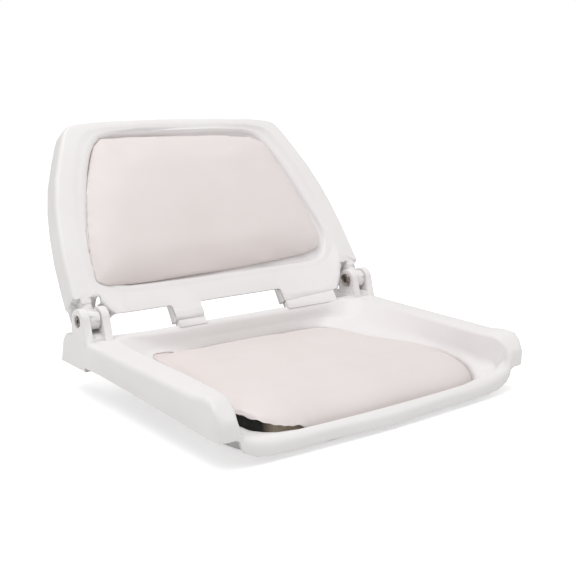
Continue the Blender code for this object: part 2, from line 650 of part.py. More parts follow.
def build_seat_shell(parts, cutters, pivot, look):
    up = Vector((0.0, 0.0, 1.0))
    sections = tray_sections()
    shell = loft("seat_shell", sections, up, parts)
    thin_lip(shell, solidify(shell, SHELL_WALL), sections)
    for label, side in SIDES.items():
        low, high = in_order(side, RAIL_INNER - SHELL_WALL / 2, SEAT_HALF_WIDTH - FLUSH_STEP)
        block = plate(
            f"{label}_hinge_block", block_outline(), low, high, cutters, round_by=EAR_EDGE_ROUND
        )
        boolean(shell, block, "UNION")
        for ear, start, end in (
            ("outer", OUTER_EAR_INNER, SEAT_HALF_WIDTH - 2 * FLUSH_STEP),
            ("inner", RAIL_INNER, INNER_EAR_OUTER),
        ):
            low, high = in_order(side, start, end)
            piece = plate(
                f"{label}_{ear}_ear", ear_outline(), low, high, cutters, round_by=EAR_EDGE_ROUND
            )
            boolean(shell, piece, "UNION")
        low, high = in_order(side, INNER_EAR_OUTER - EAR_ROOT, OUTER_EAR_INNER + EAR_ROOT)
        web = box(
            f"{label}_web",
            (low, HINGE_Y - WEB_FRONT_REACH, RAIL_HEIGHT - EAR_ROOT),
            (high, HINGE_Y + WEB_REAR_REACH, WEB_HEIGHT),
            cutters,
        )
        boolean(shell, web, "UNION")

    lug_top = -TAB_DROP - STOP_GAP
    left_lug = box(
        "left_stop_lug",
        (STOP_INSET - TAB_LEFT_OUTER, STOP_FRONT, lug_top - STOP_HEIGHT),
        (-TAB_LEFT_INNER - STOP_INSET, STOP_FRONT + STOP_LENGTH, lug_top),
        cutters,
        pivot,
    )
    boolean(shell, left_lug, "UNION")
    start = TAB_RIGHT_INNER + STOP_INSET
    end = TAB_RIGHT_OUTER - STOP_INSET
    outline = [
        (start, lug_top - STOP_HEIGHT),
        (end, lug_top - STOP_HEIGHT),
        (end, tab_line(end) - STOP_GAP),
        (start, tab_line(start) - STOP_GAP),
    ]
    right_lug = plate(
        "right_stop_lug",
        outline,
        STOP_FRONT,
        STOP_FRONT + STOP_LENGTH,
        cutters,
        pivot,
        along="Y",
    )
    boolean(shell, right_lug, "UNION")

    half = TNUT_SPACING / 2
    for number, (x, y) in enumerate(((-half, -half), (half, -half), (-half, half), (half, half))):
        boss = post(
            f"tnut_boss_{number}", TNUT_BOSS_RADIUS, SHELL_WALL / 2, TNUT_BOSS_HEIGHT, (x, y), cutters
        )
        boolean(shell, boss, "UNION")
        hole = post(
            f"tnut_hole_{number}",
            TNUT_BARREL_RADIUS + FIT_GAP,
            -CUT_OVERRUN,
            TNUT_BOSS_HEIGHT + CUT_OVERRUN,
            (x, y),
            cutters,
        )
        boolean(shell, hole, "DIFFERENCE")
    for number, (x, y) in enumerate(seat_screw_places()):
        stand = post(
            f"seat_post_{number}",
            SCREW_POST_RADIUS,
            SHELL_WALL / 2,
            SEAT_STAND_HEIGHT - FIT_GAP,
            (x, y),
            cutters,
        )
        boolean(shell, stand, "UNION")
        head_room = post(
            f"seat_head_room_{number}",
            CUSHION_SCREW_HEAD_RADIUS + HEAD_CLEARANCE,
            -CUT_OVERRUN,
            SEAT_COUNTERBORE_DEPTH,
            (x, y),
            cutters,
        )
        boolean(shell, head_room, "DIFFERENCE")
        hole = post(
            f"seat_screw_hole_{number}",
            CUSHION_SCREW_RADIUS + FIT_GAP,
            SEAT_COUNTERBORE_DEPTH - CUT_OVERRUN / 2,
            SEAT_STAND_HEIGHT + CUT_OVERRUN,
            (x, y),
            cutters,
        )
        boolean(shell, hole, "DIFFERENCE")

    for label, side in SIDES.items():
        low, high = in_order(side, RAIL_INNER + SHELL_WALL, SEAT_HALF_WIDTH - SHELL_WALL)
        hollow = box(
            f"{label}_block_hollow",
            (low, BLOCK_FRONT + SHELL_WALL, -CUT_OVERRUN),
            (high, BLOCK_REAR - BLOCK_SLOPE / 2 - SHELL_WALL, RAIL_HEIGHT - SHELL_WALL),
            cutters,
        )
        boolean(shell, hollow, "DIFFERENCE")
        low, high = in_order(side, RAIL_INNER - CUT_OVERRUN, SEAT_HALF_WIDTH + CUT_OVERRUN)
        bore = rod(f"{label}_ear_bore", BORE_RADIUS, low, high, (HINGE_Y, HINGE_Z), cutters)
        boolean(shell, bore, "DIFFERENCE")
        low, high = in_order(
            side, SEAT_HALF_WIDTH - COUNTERBORE_DEPTH, SEAT_HALF_WIDTH + CUT_OVERRUN
        )
        sink = rod(
            f"{label}_counterbore", COUNTERBORE_RADIUS, low, high, (HINGE_Y, HINGE_Z), cutters
        )
        boolean(shell, sink, "DIFFERENCE")
    return dress(shell, look)


def seat_screw_places():
    x = SEAT_SCREW_X
    y = SEAT_SCREW_Y
    return (-x, -y), (x, -y), (-x, y), (x, y)


def back_screw_places():
    x = BACK_SCREW_X
    low = BACK_RECESS_CENTRE - BACK_SCREW_RISE
    high = BACK_RECESS_CENTRE + BACK_SCREW_RISE
    return (-x, low), (x, low), (-x, high), (x, high)


def back_sections():
    sections = []
    radii = [
        BACK_EDGE_RADIUS,
        BACK_EDGE_RADIUS,
        BACK_SLOPE_RADIUS,
        BACK_RIM_RADIUS,
        BACK_RIM_RADIUS,
    ]
    steps = [BACK_EDGE_STEPS, BACK_EDGE_STEPS, FLOOR_STEPS, RIM_STEPS, RIM_STEPS]

    def place(x, depth, rise):
        length = BACK_HEIGHT if rise > 0 else TAB_DROP
        side = across(x, BACK_HALF_WIDTH, BACK_SIDE_BAND, BACK_BAND_SHARE)
        return Vector((side, depth, rise * length))

    for row in BACK_SHARES:
        edge_x, edge_rise, depth, inner_x, inner_rise, foot_x, foot_rise, rim_x, rim_rise = row
        corners = [
            place(edge_x, BACK_FACE + depth * RIM_DEPTH, edge_rise),
            place(edge_x, BACK_FACE, edge_rise),
            place(inner_x, BACK_FACE, inner_rise),
            place(foot_x, BACK_PANEL, foot_rise),
        ]
        rim_side = rim_x * BACK_RECESS_HALF_WIDTH
        along = rim_rise * BACK_RECESS_HALF_HEIGHT
        for inset, level in ((0.0, BACK_PANEL), (RECESS_DRAFT, BACK_FLOOR), (FLOOR_MARGIN, BACK_FLOOR)):
            kept = 1 - inset / BACK_RECESS_HALF_WIDTH
            corners.append(Vector((rim_side * kept, level, BACK_RECESS_CENTRE + along * kept)))
        sections.append(fillet(corners, radii, steps))
    return mirrored(sections)


def build_backrest_shell(parts, cutters, pivot, look):
    forward = Vector((0.0, -1.0, 0.0))
    shell = loft("backrest_shell", back_sections(), forward, parts, pivot)
    solidify(shell, BACK_WALL)
    below = -TAB_DROP - CUT_OVERRUN
    panel_edge = TAB_SIDE_REACH + CUT_OVERRUN
    for label, start, end in (
        ("left_notch", -panel_edge, -TAB_LEFT_OUTER),
        ("middle_notch", -TAB_LEFT_INNER, TAB_RIGHT_INNER),
    ):
        corners = [
            Vector((start, below)),
            Vector((start, NOTCH_TOP)),
            Vector((end, NOTCH_TOP)),
            Vector((end, below)),
        ]
        outline = fillet(corners, [NOTCH_ROUND] * 2, [BACK_EDGE_STEPS] * 2)
        notch = plate(
            label, outline, BACK_FACE - CUT_OVERRUN, RIM_DEPTH, cutters, pivot, along="Y"
        )
        boolean(shell, notch, "DIFFERENCE")
    slope_outline = [
        (TAB_RIGHT_INNER - CUT_OVERRUN, below),
        (panel_edge, below),
        (panel_edge, tab_line(panel_edge)),
        (TAB_RIGHT_INNER - CUT_OVERRUN, tab_line(TAB_RIGHT_INNER - CUT_OVERRUN)),
    ]
    slope = plate(
        "right_tab_slope",
        slope_outline,
        BACK_FACE - CUT_OVERRUN,
        RIM_DEPTH,
        cutters,
        pivot,
        along="Y",
    )
    boolean(shell, slope, "DIFFERENCE")
    front = BACK_FACE + BACK_WALL / 2
    back = BACK_FACE + TAB_WALL_DEPTH
    left_end = TAB_RIGHT_INNER + TAB_WALL / 2
    right_end = TAB_RIGHT_OUTER + TAB_WALL / 2
    flange_outline = [
        (left_end, tab_line(left_end)),
        (TAB_RIGHT_OUTER, tab_line(TAB_RIGHT_OUTER)),
        (TAB_RIGHT_OUTER, tab_line(TAB_RIGHT_OUTER) + TAB_WALL),
        (left_end, tab_line(left_end) + TAB_WALL),
    ]
    flange = plate(
        "right_tab_flange", flange_outline, front, back - TAB_STEP, cutters, pivot, along="Y"
    )
    boolean(shell, flange, "UNION")
    for label, start, end, bottom in (
        ("left_tab_wall_a", -TAB_LEFT_OUTER, TAB_WALL - TAB_LEFT_OUTER, -TAB_DROP),
        ("left_tab_wall_b", -TAB_LEFT_INNER - TAB_WALL, -TAB_LEFT_INNER, -TAB_DROP),
        ("right_tab_wall_a", TAB_RIGHT_INNER, TAB_RIGHT_INNER + TAB_WALL, TAB_STEP - TAB_RIGHT_DROP),
        ("right_tab_wall_b", right_end - TAB_WALL, right_end, TAB_STEP - TAB_RIGHT_OUTER_DROP),
    ):
        outline = [
            (start, bottom),
            (end, bottom),
            (end, TAB_WALL_HEIGHT),
            (start, TAB_WALL_HEIGHT),
        ]
        wall = plate(label, outline, front + PANEL_SET / 2, back, cutters, pivot, along="Y")
        boolean(shell, wall, "UNION")

    for label, side in SIDES.items():
        low, high = in_order(side, RAIL_INNER, BACK_HALF_WIDTH - LEG_END_INSET)
        end = box(
            f"{label}_leg_end",
            (low, BACK_FACE + BACK_WALL / 2, 0.0),
            (high, BACK_FACE + LEG_END_DEPTH, LEG_END_HEIGHT),
            cutters,
            pivot,
        )
        boolean(shell, end, "UNION")
        low, high = in_order(side, KNUCKLE_INNER - KNUCKLE_GAP, KNUCKLE_OUTER + KNUCKLE_GAP)
        knuckle = rod(f"{label}_knuckle", KNUCKLE_RADIUS, low, high, (0.0, 0.0), cutters, pivot)
        boolean(shell, knuckle, "UNION")
        for ear, first, second in (
            ("outer", OUTER_EAR_INNER - KNUCKLE_GAP, SEAT_HALF_WIDTH + CUT_OVERRUN),
            ("inner", RAIL_INNER - KNUCKLE_GAP, INNER_EAR_OUTER + KNUCKLE_GAP),
        ):
            low, high = in_order(side, first, second)
            room = rod(
                f"{label}_{ear}_ear_room",
                EAR_ROOM_DEPTH,
                low,
                high,
                (0.0, 0.0),
                cutters,
                pivot,
                stretch=EAR_ROOM_HEIGHT / EAR_ROOM_DEPTH,
            )
            boolean(shell, room, "DIFFERENCE")
        low, high = in_order(side, KNUCKLE_INNER - KNUCKLE_GAP, KNUCKLE_OUTER + KNUCKLE_GAP)
        bore = rod(
            f"{label}_knuckle_bore",
            BORE_RADIUS,
            low,
            high,
            (0.0, 0.0),
            cutters,
            pivot,
            sides=BORE_SIDES,
        )
        boolean(shell, bore, "DIFFERENCE")

    rib_front = BACK_FLOOR + BACK_WALL / 2
    rib_back = BACK_FLOOR + BACK_WALL + BACK_RIB_DEPTH
    reach = BACK_RECESS_HALF_HEIGHT - BACK_RIB_END_GAP
    for number in (-1, 0, 1):
        middle = number * BACK_RIB_SPACING
        height = reach * (1 if number == 0 else BACK_OUTER_RIB_SHARE)
        rib = box(
            f"back_rib_{number + 1}",
            (middle - BACK_RIB_WIDTH / 2, rib_front, BACK_RECESS_CENTRE - height),
            (middle + BACK_RIB_WIDTH / 2, rib_back, BACK_RECESS_CENTRE + height),
            cutters,
            pivot,
        )
        boolean(shell, rib, "UNION")
    half_rib = BACK_CROSS_RIB_WIDTH / 2
    cross = box(
        "back_cross_rib",
        (-BACK_CROSS_RIB_REACH, rib_front, BACK_RECESS_CENTRE - half_rib),
        (BACK_CROSS_RIB_REACH, rib_back - BACK_CROSS_RIB_STEP, BACK_RECESS_CENTRE + half_rib),
        cutters,
        pivot,
    )
    boolean(shell, cross, "UNION")
    for number, place in enumerate(back_screw_places()):
        boss = post(
            f"back_post_{number}",
            SCREW_POST_RADIUS,
            rib_front,
            BACK_FLOOR + BACK_WALL + BACK_BOSS_HEIGHT,
            place,
            cutters,
            pivot,
            along="Y",
        )
        boolean(shell, boss, "UNION")
        hole = post(
            f"back_screw_hole_{number}",
            CUSHION_SCREW_RADIUS + FIT_GAP,
            BACK_FLOOR - CUT_OVERRUN,
            rib_back + CUT_OVERRUN,
            place,
            cutters,
            pivot,
            along="Y",
        )
        boolean(shell, hole, "DIFFERENCE")
    return dress(shell, look)


def outline_of(rim_shares, half_width, low_reach, high_reach):
    """The recess's rim drawn in by the cushion's gap, at even steps."""
    half = []
    for side_share, along in rim_shares:
        reach = high_reach if along > 0 else low_reach
        half.append(
            Vector((side_share * (half_width - CUSHION_GAP), along * (reach - CUSHION_GAP), 0.0))
        )
    other = [Vector((-point.x, point.y, 0.0)) for point in reversed(half[1:-1])]
    return even_loop(half + other, CUSHION_STEPS)


def cushion(label, outline, place, side, tilt, crown, board_thickness, screws, looks, sets, parent):
    """A padded cushion with its back plane at z = 0: cover, foam and board."""
    parts, cutters = sets
    cover_look, foam_look, board_look = looks
    length = max(point.y for point in outline)

    def height(y, share):
        return (side + tilt * y / length) * share

    rings = []
    for point in outline:
        section = []
        for scale, rise_share, crown_share in COVER_SHARES:
            level = height(point.y, rise_share) + crown * crown_share
            section.append(Vector((point.x * scale, point.y * scale, level)))
        rings.append(section)
    cover = loft(f"{label}_cushion_cover", rings, Vector((0.0, 0.0, 1.0)), parts)
    subdivide = cover.modifiers.new("soft", "SUBSURF")
    subdivide.levels = 1
    subdivide.render_levels = 1
    bpy.context.view_layer.update()
    graph = bpy.context.evaluated_depsgraph_get()
    foam_mesh = bpy.data.meshes.new_from_object(cover.evaluated_get(graph))
    solidify(cover, COVER_THICKNESS)
    dress(cover, cover_look)

    bm = bmesh.new()
    bm.from_mesh(foam_mesh)
    bmesh.ops.recalc_face_normals(bm, faces=bm.faces)
    if sum(face.normal.z * face.calc_area() for face in bm.faces) < 0:
        bmesh.ops.reverse_faces(bm, faces=bm.faces)
    bm.normal_update()
    inset = COVER_THICKNESS + FOAM_GAP
    moved = [vert.co - vert.normal * inset for vert in bm.verts]
    for vert, spot in zip(bm.verts, moved):
        vert.co = spot
    base = Vector((0.0, 0.0, board_thickness + FOAM_GAP))
    bmesh.ops.bisect_plane(
        bm,
        geom=list(bm.verts) + list(bm.edges) + list(bm.faces),
        plane_co=base,
        plane_no=Vector((0.0, 0.0, 1.0)),
        clear_inner=True,
    )
    bmesh.ops.remove_doubles(bm, verts=bm.verts, dist=MERGE_DISTANCE)
    open_edges = [edge for edge in bm.edges if edge.is_boundary]
    bmesh.ops.edgeloop_fill(bm, edges=open_edges)
    bmesh.ops.recalc_face_normals(bm, faces=bm.faces)
    foam = finish_mesh(f"{label}_cushion_foam", bm, parts)
    dress(foam, foam_look)

    edge = bends_only(drawn_in(softened(outline), COVER_THICKNESS + BOARD_INSET))
    board = plate(
        f"{label}_cushion_board",
        [(point.x, point.y) for point in edge],
        FIT_GAP,
        board_thickness,
        parts,
        along="Z",
    )
    for number, (x, y) in enumerate(screws):
        pilot = post(
            f"{label}_board_hole_{number}",
            CUSHION_SCREW_RADIUS + FIT_GAP,
            -CUT_OVERRUN,
            board_thickness + CUT_OVERRUN,
            (x, y - place[2] if parent else y),
            cutters,
        )
        boolean(board, pilot, "DIFFERENCE")
        pilot.parent = parent
        pilot.location = place
        if parent:
            pilot.rotation_euler = (QUARTER, 0.0, 0.0)
    dress(board, board_look)
    for piece in (cover, foam, board):
        piece.parent = parent
        piece.location = place
        if parent:
            piece.rotation_euler = (QUARTER, 0.0, 0.0)


def screw_profile(head_radius, head_height, shank_radius, length, edge):
    """A closed screw with its head's top up, its bearing face at z = 0 and its shank below."""
    return [
        (0.0, head_height),
        (head_radius - edge, head_height),
        (head_radius, head_height - edge),
        (head_radius, FIT_GAP),
        (shank_radius, FIT_GAP),
        (shank_radius, edge - length),
        (shank_radius - edge, -length),
        (0.0, -length),
    ]


def build_hinges(parts, cutters, steel, dark, nylon):
    for label, side in SIDES.items():
        grip = SEAT_HALF_WIDTH - COUNTERBORE_DEPTH - RAIL_INNER - BARREL_END_GAP
        bore = SCREW_RADIUS + FIT_GAP
        profile = [
            (0.0, FIT_GAP + BARREL_HEAD_HEIGHT),
            (BARREL_HEAD_RADIUS - BARREL_HEAD_ROUND, FIT_GAP + BARREL_HEAD_HEIGHT),
            (BARREL_HEAD_RADIUS, FIT_GAP + BARREL_HEAD_HEIGHT - BARREL_HEAD_ROUND),
            (BARREL_HEAD_RADIUS, FIT_GAP),
            (BARREL_RADIUS, FIT_GAP),
            (BARREL_RADIUS, -grip),
            (bore, -grip),
            (bore, BARREL_THREAD_DEPTH - grip),
            (0.0, BARREL_THREAD_DEPTH - grip),
        ]
        barrel = turned(f"{label}_hinge_barrel", profile, parts)
        barrel.location = (side * RAIL_INNER, HINGE_Y, HINGE_Z)
        barrel.rotation_euler = (0.0, -side * QUARTER, 0.0)
        low, high = in_order(
            side,
            RAIL_INNER - FIT_GAP - BARREL_HEAD_HEIGHT + SOCKET_DEPTH,
            RAIL_INNER - FIT_GAP - BARREL_HEAD_HEIGHT - CUT_OVERRUN,
        )
        boolean(barrel, socket(f"{label}_barrel_socket", low, high, cutters), "DIFFERENCE")
        dress(barrel, steel)

        profile = screw_profile(
            SCREW_HEAD_RADIUS, SCREW_HEAD_HEIGHT, SCREW_RADIUS, SCREW_LENGTH, BARREL_HEAD_ROUND
        )
        screw = turned(f"{label}_hinge_screw", profile, parts)
        floor = SEAT_HALF_WIDTH - COUNTERBORE_DEPTH
        screw.location = (side * floor, HINGE_Y, HINGE_Z)
        screw.rotation_euler = (0.0, side * QUARTER, 0.0)
        top = floor + SCREW_HEAD_HEIGHT
        low, high = in_order(side, top - SOCKET_DEPTH, top + CUT_OVERRUN)
        boolean(screw, socket(f"{label}_screw_socket", low, high, cutters), "DIFFERENCE")
        dress(screw, dark)

        for name, face in (("inner", INNER_EAR_OUTER), ("outer", KNUCKLE_OUTER)):
            profile = [
                (WASHER_RADIUS, KNUCKLE_GAP - FIT_GAP),
                (WASHER_RADIUS, FIT_GAP),
                (BORE_RADIUS, FIT_GAP),
                (BORE_RADIUS, KNUCKLE_GAP - FIT_GAP),
            ]
            washer = turned(f"{label}_{name}_washer", profile, parts, closed=True)
            washer.location = (side * face, HINGE_Y, HINGE_Z)
            washer.rotation_euler = (0.0, side * QUARTER, 0.0)
            dress(washer, nylon)


def socket(name, low, high, collection):
    """A hexagonal key socket on the hinge axis."""
    bm = bmesh.new()
    bmesh.ops.create_cone(
        bm, cap_ends=True, segments=6, radius1=SOCKET_RADIUS, radius2=SOCKET_RADIUS, depth=high - low
    )
    middle = Vector(((low + high) / 2, HINGE_Y, HINGE_Z))
    for vert in bm.verts:
        x, y, z = vert.co
        vert.co = middle + Vector((z, y, -x))
    return finish_mesh(name, bm, collection)


def build_fasteners(parts, pivot, steel, dark):
    half = TNUT_SPACING / 2
    top = TNUT_BOSS_HEIGHT + FIT_GAP + TNUT_FLANGE_HEIGHT
    profile = [
        (TNUT_FLANGE_RADIUS, top),
        (TNUT_FLANGE_RADIUS, top - TNUT_FLANGE_HEIGHT),
        (TNUT_BARREL_RADIUS, top - TNUT_FLANGE_HEIGHT),
        (TNUT_BARREL_RADIUS, TNUT_TIP_LIFT),
        (TNUT_BORE_RADIUS, TNUT_TIP_LIFT),
        (TNUT_BORE_RADIUS, top),
    ]
    for label, side in SIDES.items():
        for end, turn in (("front", -1), ("rear", 1)):
            nut = turned(
                f"{end}_{label}_mount_nut", profile, parts, closed=True, sides=SMALL_SIDES
            )
            nut.location = (side * half, turn * half, 0.0)
            dress(nut, steel)

    length = SEAT_STAND_HEIGHT - SEAT_COUNTERBORE_DEPTH + SEAT_SCREW_BITE
    profile = screw_profile(
        CUSHION_SCREW_HEAD_RADIUS,
        CUSHION_SCREW_HEAD_HEIGHT,
        CUSHION_SCREW_RADIUS,
        length,
        SCREW_EDGE,
    )
    for number, (x, y) in enumerate(seat_screw_places()):
        screw = turned(f"seat_cushion_screw_{number + 1}", profile, parts, sides=SMALL_SIDES)
        screw.location = (x, y, SEAT_COUNTERBORE_DEPTH)
        screw.rotation_euler = (math.pi, 0.0, 0.0)
        dress(screw, dark)

    length = BACK_WALL + BACK_BOSS_HEIGHT + BACK_SCREW_BITE
    profile = screw_profile(
        CUSHION_SCREW_HEAD_RADIUS,
        CUSHION_SCREW_HEAD_HEIGHT,
        CUSHION_SCREW_RADIUS,
        length,
        SCREW_EDGE,
    )
    for number, (x, rise) in enumerate(back_screw_places()):
        screw = turned(f"back_cushion_screw_{number + 1}", profile, parts, sides=SMALL_SIDES)
        screw.parent = pivot
        screw.location = (x, BACK_FLOOR + BACK_WALL + BACK_BOSS_HEIGHT, rise)
        screw.rotation_euler = (-QUARTER, 0.0, 0.0)
        dress(screw, dark)


def main():
    clear_scene()
    parts = new_collection("folding_boat_seat")
    cutters = new_collection("cutters")
    plastic = material("shell_plastic", (0.84, 0.83, 0.82), 0.42)
    vinyl = material("cushion_vinyl", (0.80, 0.76, 0.74), 0.46)
    foam = material("cushion_foam", (0.06, 0.06, 0.055), 0.95)
    plywood = material("cushion_plywood", (0.52, 0.36, 0.20), 0.80)
    steel = material("stainless_steel", (0.55, 0.55, 0.56), 0.30, 1.0)
    dark = material("black_screw", (0.03, 0.03, 0.03), 0.45)
    nylon = material("nylon_washer", (0.78, 0.78, 0.76), 0.50)

    pivot = bpy.data.objects.new("backrest_pivot", None)
    parts.objects.link(pivot)
    pivot.location = (0.0, HINGE_Y, HINGE_Z)
    pivot.rotation_euler = (-RECLINE, 0.0, 0.0)
    build_seat_shell(parts, cutters, pivot, plastic)
    build_backrest_shell(parts, cutters, pivot, plastic)

    looks = (vinyl, foam, plywood)
    rim_shares = [row[-3:-1] for row in TRAY_SHARES]
    outline = outline_of(
        rim_shares, SEAT_RECESS_HALF_WIDTH, SEAT_RECESS_FRONT, SEAT_RECESS_REAR
    )
    cushion(
        "seat",
        outline,
        (0.0, 0.0, SEAT_STAND_HEIGHT),
        SEAT_SIDE_HEIGHT,
        SEAT_SIDE_TILT,
        SEAT_CROWN,
        SEAT_BOARD_THICKNESS,
        seat_screw_places(),
        looks,
        (parts, cutters),
        None,
    )
    rim_shares = [row[-2:] for row in BACK_SHARES]
    outline = outline_of(
        rim_shares, BACK_RECESS_HALF_WIDTH, BACK_RECESS_HALF_HEIGHT, BACK_RECESS_HALF_HEIGHT
    )
    cushion(
        "back",
        outline,
        (0.0, BACK_FLOOR - FIT_GAP, BACK_RECESS_CENTRE),
        BACK_SIDE_HEIGHT,
        0.0,
        BACK_CROWN,
        BACK_BOARD_THICKNESS,
        back_screw_places(),
        looks,
        (parts, cutters),
        pivot,
    )
    build_hinges(parts, cutters, steel, dark, nylon)
    build_fasteners(parts, pivot, steel, dark)


main()
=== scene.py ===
"""Looks of the folding boat seat: satin moulded shells, padded vinyl cushions and hinge bolts."""
import json
import math

import bmesh
import bpy
from mathutils import Matrix, Vector, noise
from mathutils.bvhtree import BVHTree


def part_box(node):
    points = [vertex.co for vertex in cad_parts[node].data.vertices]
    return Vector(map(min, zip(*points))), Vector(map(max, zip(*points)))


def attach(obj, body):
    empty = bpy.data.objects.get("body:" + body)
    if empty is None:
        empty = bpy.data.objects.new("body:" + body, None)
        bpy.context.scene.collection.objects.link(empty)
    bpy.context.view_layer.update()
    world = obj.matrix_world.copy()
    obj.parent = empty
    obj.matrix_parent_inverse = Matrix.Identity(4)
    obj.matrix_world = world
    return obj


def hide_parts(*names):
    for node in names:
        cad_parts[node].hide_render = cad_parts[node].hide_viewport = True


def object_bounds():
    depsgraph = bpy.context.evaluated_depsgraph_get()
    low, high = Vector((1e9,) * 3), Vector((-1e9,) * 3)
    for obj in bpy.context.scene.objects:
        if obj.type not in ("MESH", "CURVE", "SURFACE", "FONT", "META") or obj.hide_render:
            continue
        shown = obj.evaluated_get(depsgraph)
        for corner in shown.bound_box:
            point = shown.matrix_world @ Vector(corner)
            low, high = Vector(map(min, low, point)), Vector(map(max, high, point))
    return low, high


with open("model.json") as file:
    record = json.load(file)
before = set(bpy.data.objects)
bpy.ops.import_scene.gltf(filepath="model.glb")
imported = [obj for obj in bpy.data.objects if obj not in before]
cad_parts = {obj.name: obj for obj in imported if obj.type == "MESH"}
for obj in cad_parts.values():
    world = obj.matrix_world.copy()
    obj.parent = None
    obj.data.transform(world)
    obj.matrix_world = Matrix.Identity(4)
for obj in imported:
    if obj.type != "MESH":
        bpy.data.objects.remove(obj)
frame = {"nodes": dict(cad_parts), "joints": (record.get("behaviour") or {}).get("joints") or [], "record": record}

CAD_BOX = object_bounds()
NODES = frame["nodes"]

# Camera, fitted to the photograph.
CAMERA_PLACE = (-0.7997, -0.9435, 0.4178)
CAMERA_YAW = math.radians(38.802)
CAMERA_PITCH = math.radians(12.472)
CAMERA_ROLL = math.radians(1.011)
CAMERA_LENS = 61.5
SENSOR_WIDTH = 36.0

# Hinge axis and the backrest's lean.
HINGE = Vector(frame["joints"][0]["pos_m"])
RECLINE = math.radians(33.4)
BACK_FRAME = Matrix.Translation(HINGE) @ Matrix.Rotation(-RECLINE, 4, "X")
UPRIGHT = Matrix.Rotation(math.radians(90), 4, "X")

# Mesh making.
WELD = 0.00001
CREASE_ANGLE = math.radians(50)
TURN_STEPS = 48
EDGE_SOFTENING = 0.0003
SOFTENING_SEGMENTS = 2

# Shells. Pairs of heights or distances are where a change starts and where it is complete.
NOSE_FORWARD = (0.098, 0.132)
NOSE_TIP = (0.137, 0.150)
NOSE_TIP_EASE = 0.45
NOSE_SIDE = (0.200, 0.214)
NOSE_HEIGHT = (0.036, 0.052)
NOSE_RISE = 0.0100
NOSE_WALL_START = (0.186, 0.204)
NOSE_WALL_END = (0.207, 0.226)
NOSE_WALL_HEIGHT = (0.042, 0.054)
NOSE_WALL_FORWARD = (0.112, 0.138)
NOSE_WALL_SHIFT = 0.0110
FACE_DEPTH = -0.0025
PANEL_DEPTH = 0.0026
RECESS_DEPTH = 0.0085
PANEL_KEEP = 0.25
PANEL_RIGHT_KEEP = 0.75
PANEL_RIGHT = (0.080, 0.150)
PANEL_RISE = (0.030, 0.075)
RIM_OUTER_WALL = 0.25

# Hinge bolts. A head or socket is its radius and its height, a step its radius and where it lies.
BARREL_RADIUS = 0.0050
BARREL_HEAD = (0.0093, 0.0028)
BARREL_ROUND = 0.0009
BARREL_SOCKET = (0.0034, 0.0024)
BORE_RADIUS = 0.0032
BORE_DEPTH = 0.022
SCREW_SOCKET = (0.0028, 0.0018)
SCREW_STEPS = (
    (0.0030, -0.0212), (0.0030, -0.0032), (0.0068, -0.0032), (0.0068, -0.0008),
    (0.0060, 0.0000),
)
SOCKET_SECTOR = math.radians(60)

# Cushions, each in its own frame: x across, y along the shell, z out of it.
CUSHION_VOXEL = 0.0045
FOOT_HEIGHT = 2 * CUSHION_VOXEL
FOOT_FACING = -0.6
FOOT_PULL = 0.006
EASE_SHARE = 0.5
EDGE_ROUNDS = 5
SETTLE_ROUNDS = 10
HEM_ROUNDS = 6
CUSHION_PRESSURE = 4.0
CUSHION_FRAMES = 20
CUSHION_RISE_CAP = 0.004
CUSHION_DIP_CAP = 0.001
CUSHION_SPREAD_CAP = 0.0015
COVER_THICKNESS = 0.0012
COVER_CLEARANCE = 0.0005
ABOVE_ALL = 0.2
FOAM_INSET = 0.0035
FOAM_LEFT_LIMIT = 0.148
FOAM_LEFT_BEND = 0.070
FOAM_LEFT_SLOPES = (0.32, 0.25)
BOARD_INSET = 0.011
BOARD_EDGE = 0.001
SEAT_OUTLINE = (
    (0.000, 0.141), (-0.077, 0.140), (-0.135, 0.137), (-0.157, 0.133), (-0.167, 0.122),
    (-0.166, 0.098), (-0.163, 0.072), (-0.169, 0.030), (-0.178, -0.005), (-0.189, -0.040),
    (-0.195, -0.075), (-0.190, -0.105), (-0.176, -0.126), (-0.152, -0.137), (-0.110, -0.140),
    (0.000, -0.141), (0.110, -0.140), (0.150, -0.137), (0.174, -0.127), (0.187, -0.108),
    (0.193, -0.080), (0.191, -0.048), (0.182, -0.018), (0.165, 0.022), (0.152, 0.065),
    (0.147, 0.090), (0.139, 0.112), (0.122, 0.128), (0.090, 0.136), (0.050, 0.140),
)
SEAT_BASE = 0.0118
SEAT_FOAM_BASE = 0.0211
SEAT_EDGE_HEIGHT = 0.0505
SEAT_CROWN = 0.0010
SEAT_SIZE = (0.195, 0.145)
SEAT_LEFT_RAISE = 0.004
REAR_ROLL = (0.014, 0.008)
FRONT_ROLL = (0.050, 0.025)
TORN_CORNER = (-0.190, -0.105)
TORN_STIFFNESS = 0.75
TORN_SPREAD = 0.030
TORN_LIFT = 0.032
TORN_REACH = 0.095
TORN_FADE = (0.060, 0.105)
TORN_RAGGED = 0.0045
TORN_TUFT = 0.009
# Painted shade: across this span of x the foam turns from black to the brown-grey that stands for the loose hem's
# shaded underside.
PAINTED_SHADE_SPAN = (-0.172, -0.160)
HEM_UNDERSIDE_PAINTED_SHADE = (0.46, 0.385, 0.30)
BACK_OUTLINE = (
    (-0.207, 0.049), (-0.204, 0.090), (-0.199, 0.120), (-0.187, 0.165), (-0.170, 0.205),
    (-0.156, 0.235), (-0.147, 0.251), (-0.134, 0.262), (-0.090, 0.265), (0.000, 0.264),
    (0.087, 0.261), (0.124, 0.258), (0.144, 0.250), (0.155, 0.235), (0.163, 0.206),
    (0.172, 0.179), (0.181, 0.139), (0.189, 0.100), (0.190, 0.074), (0.181, 0.061),
    (0.153, 0.054), (0.100, 0.050), (0.024, 0.046), (-0.047, 0.044), (-0.129, 0.042),
    (-0.190, 0.043),
)
BACK_BASE = -0.0080
BACK_BOARD = (-0.0082, -0.0022)
BACK_FOAM_BASE = -0.0016
BACK_EDGE_HEIGHT = 0.0085
BACK_CROWN = 0.0035
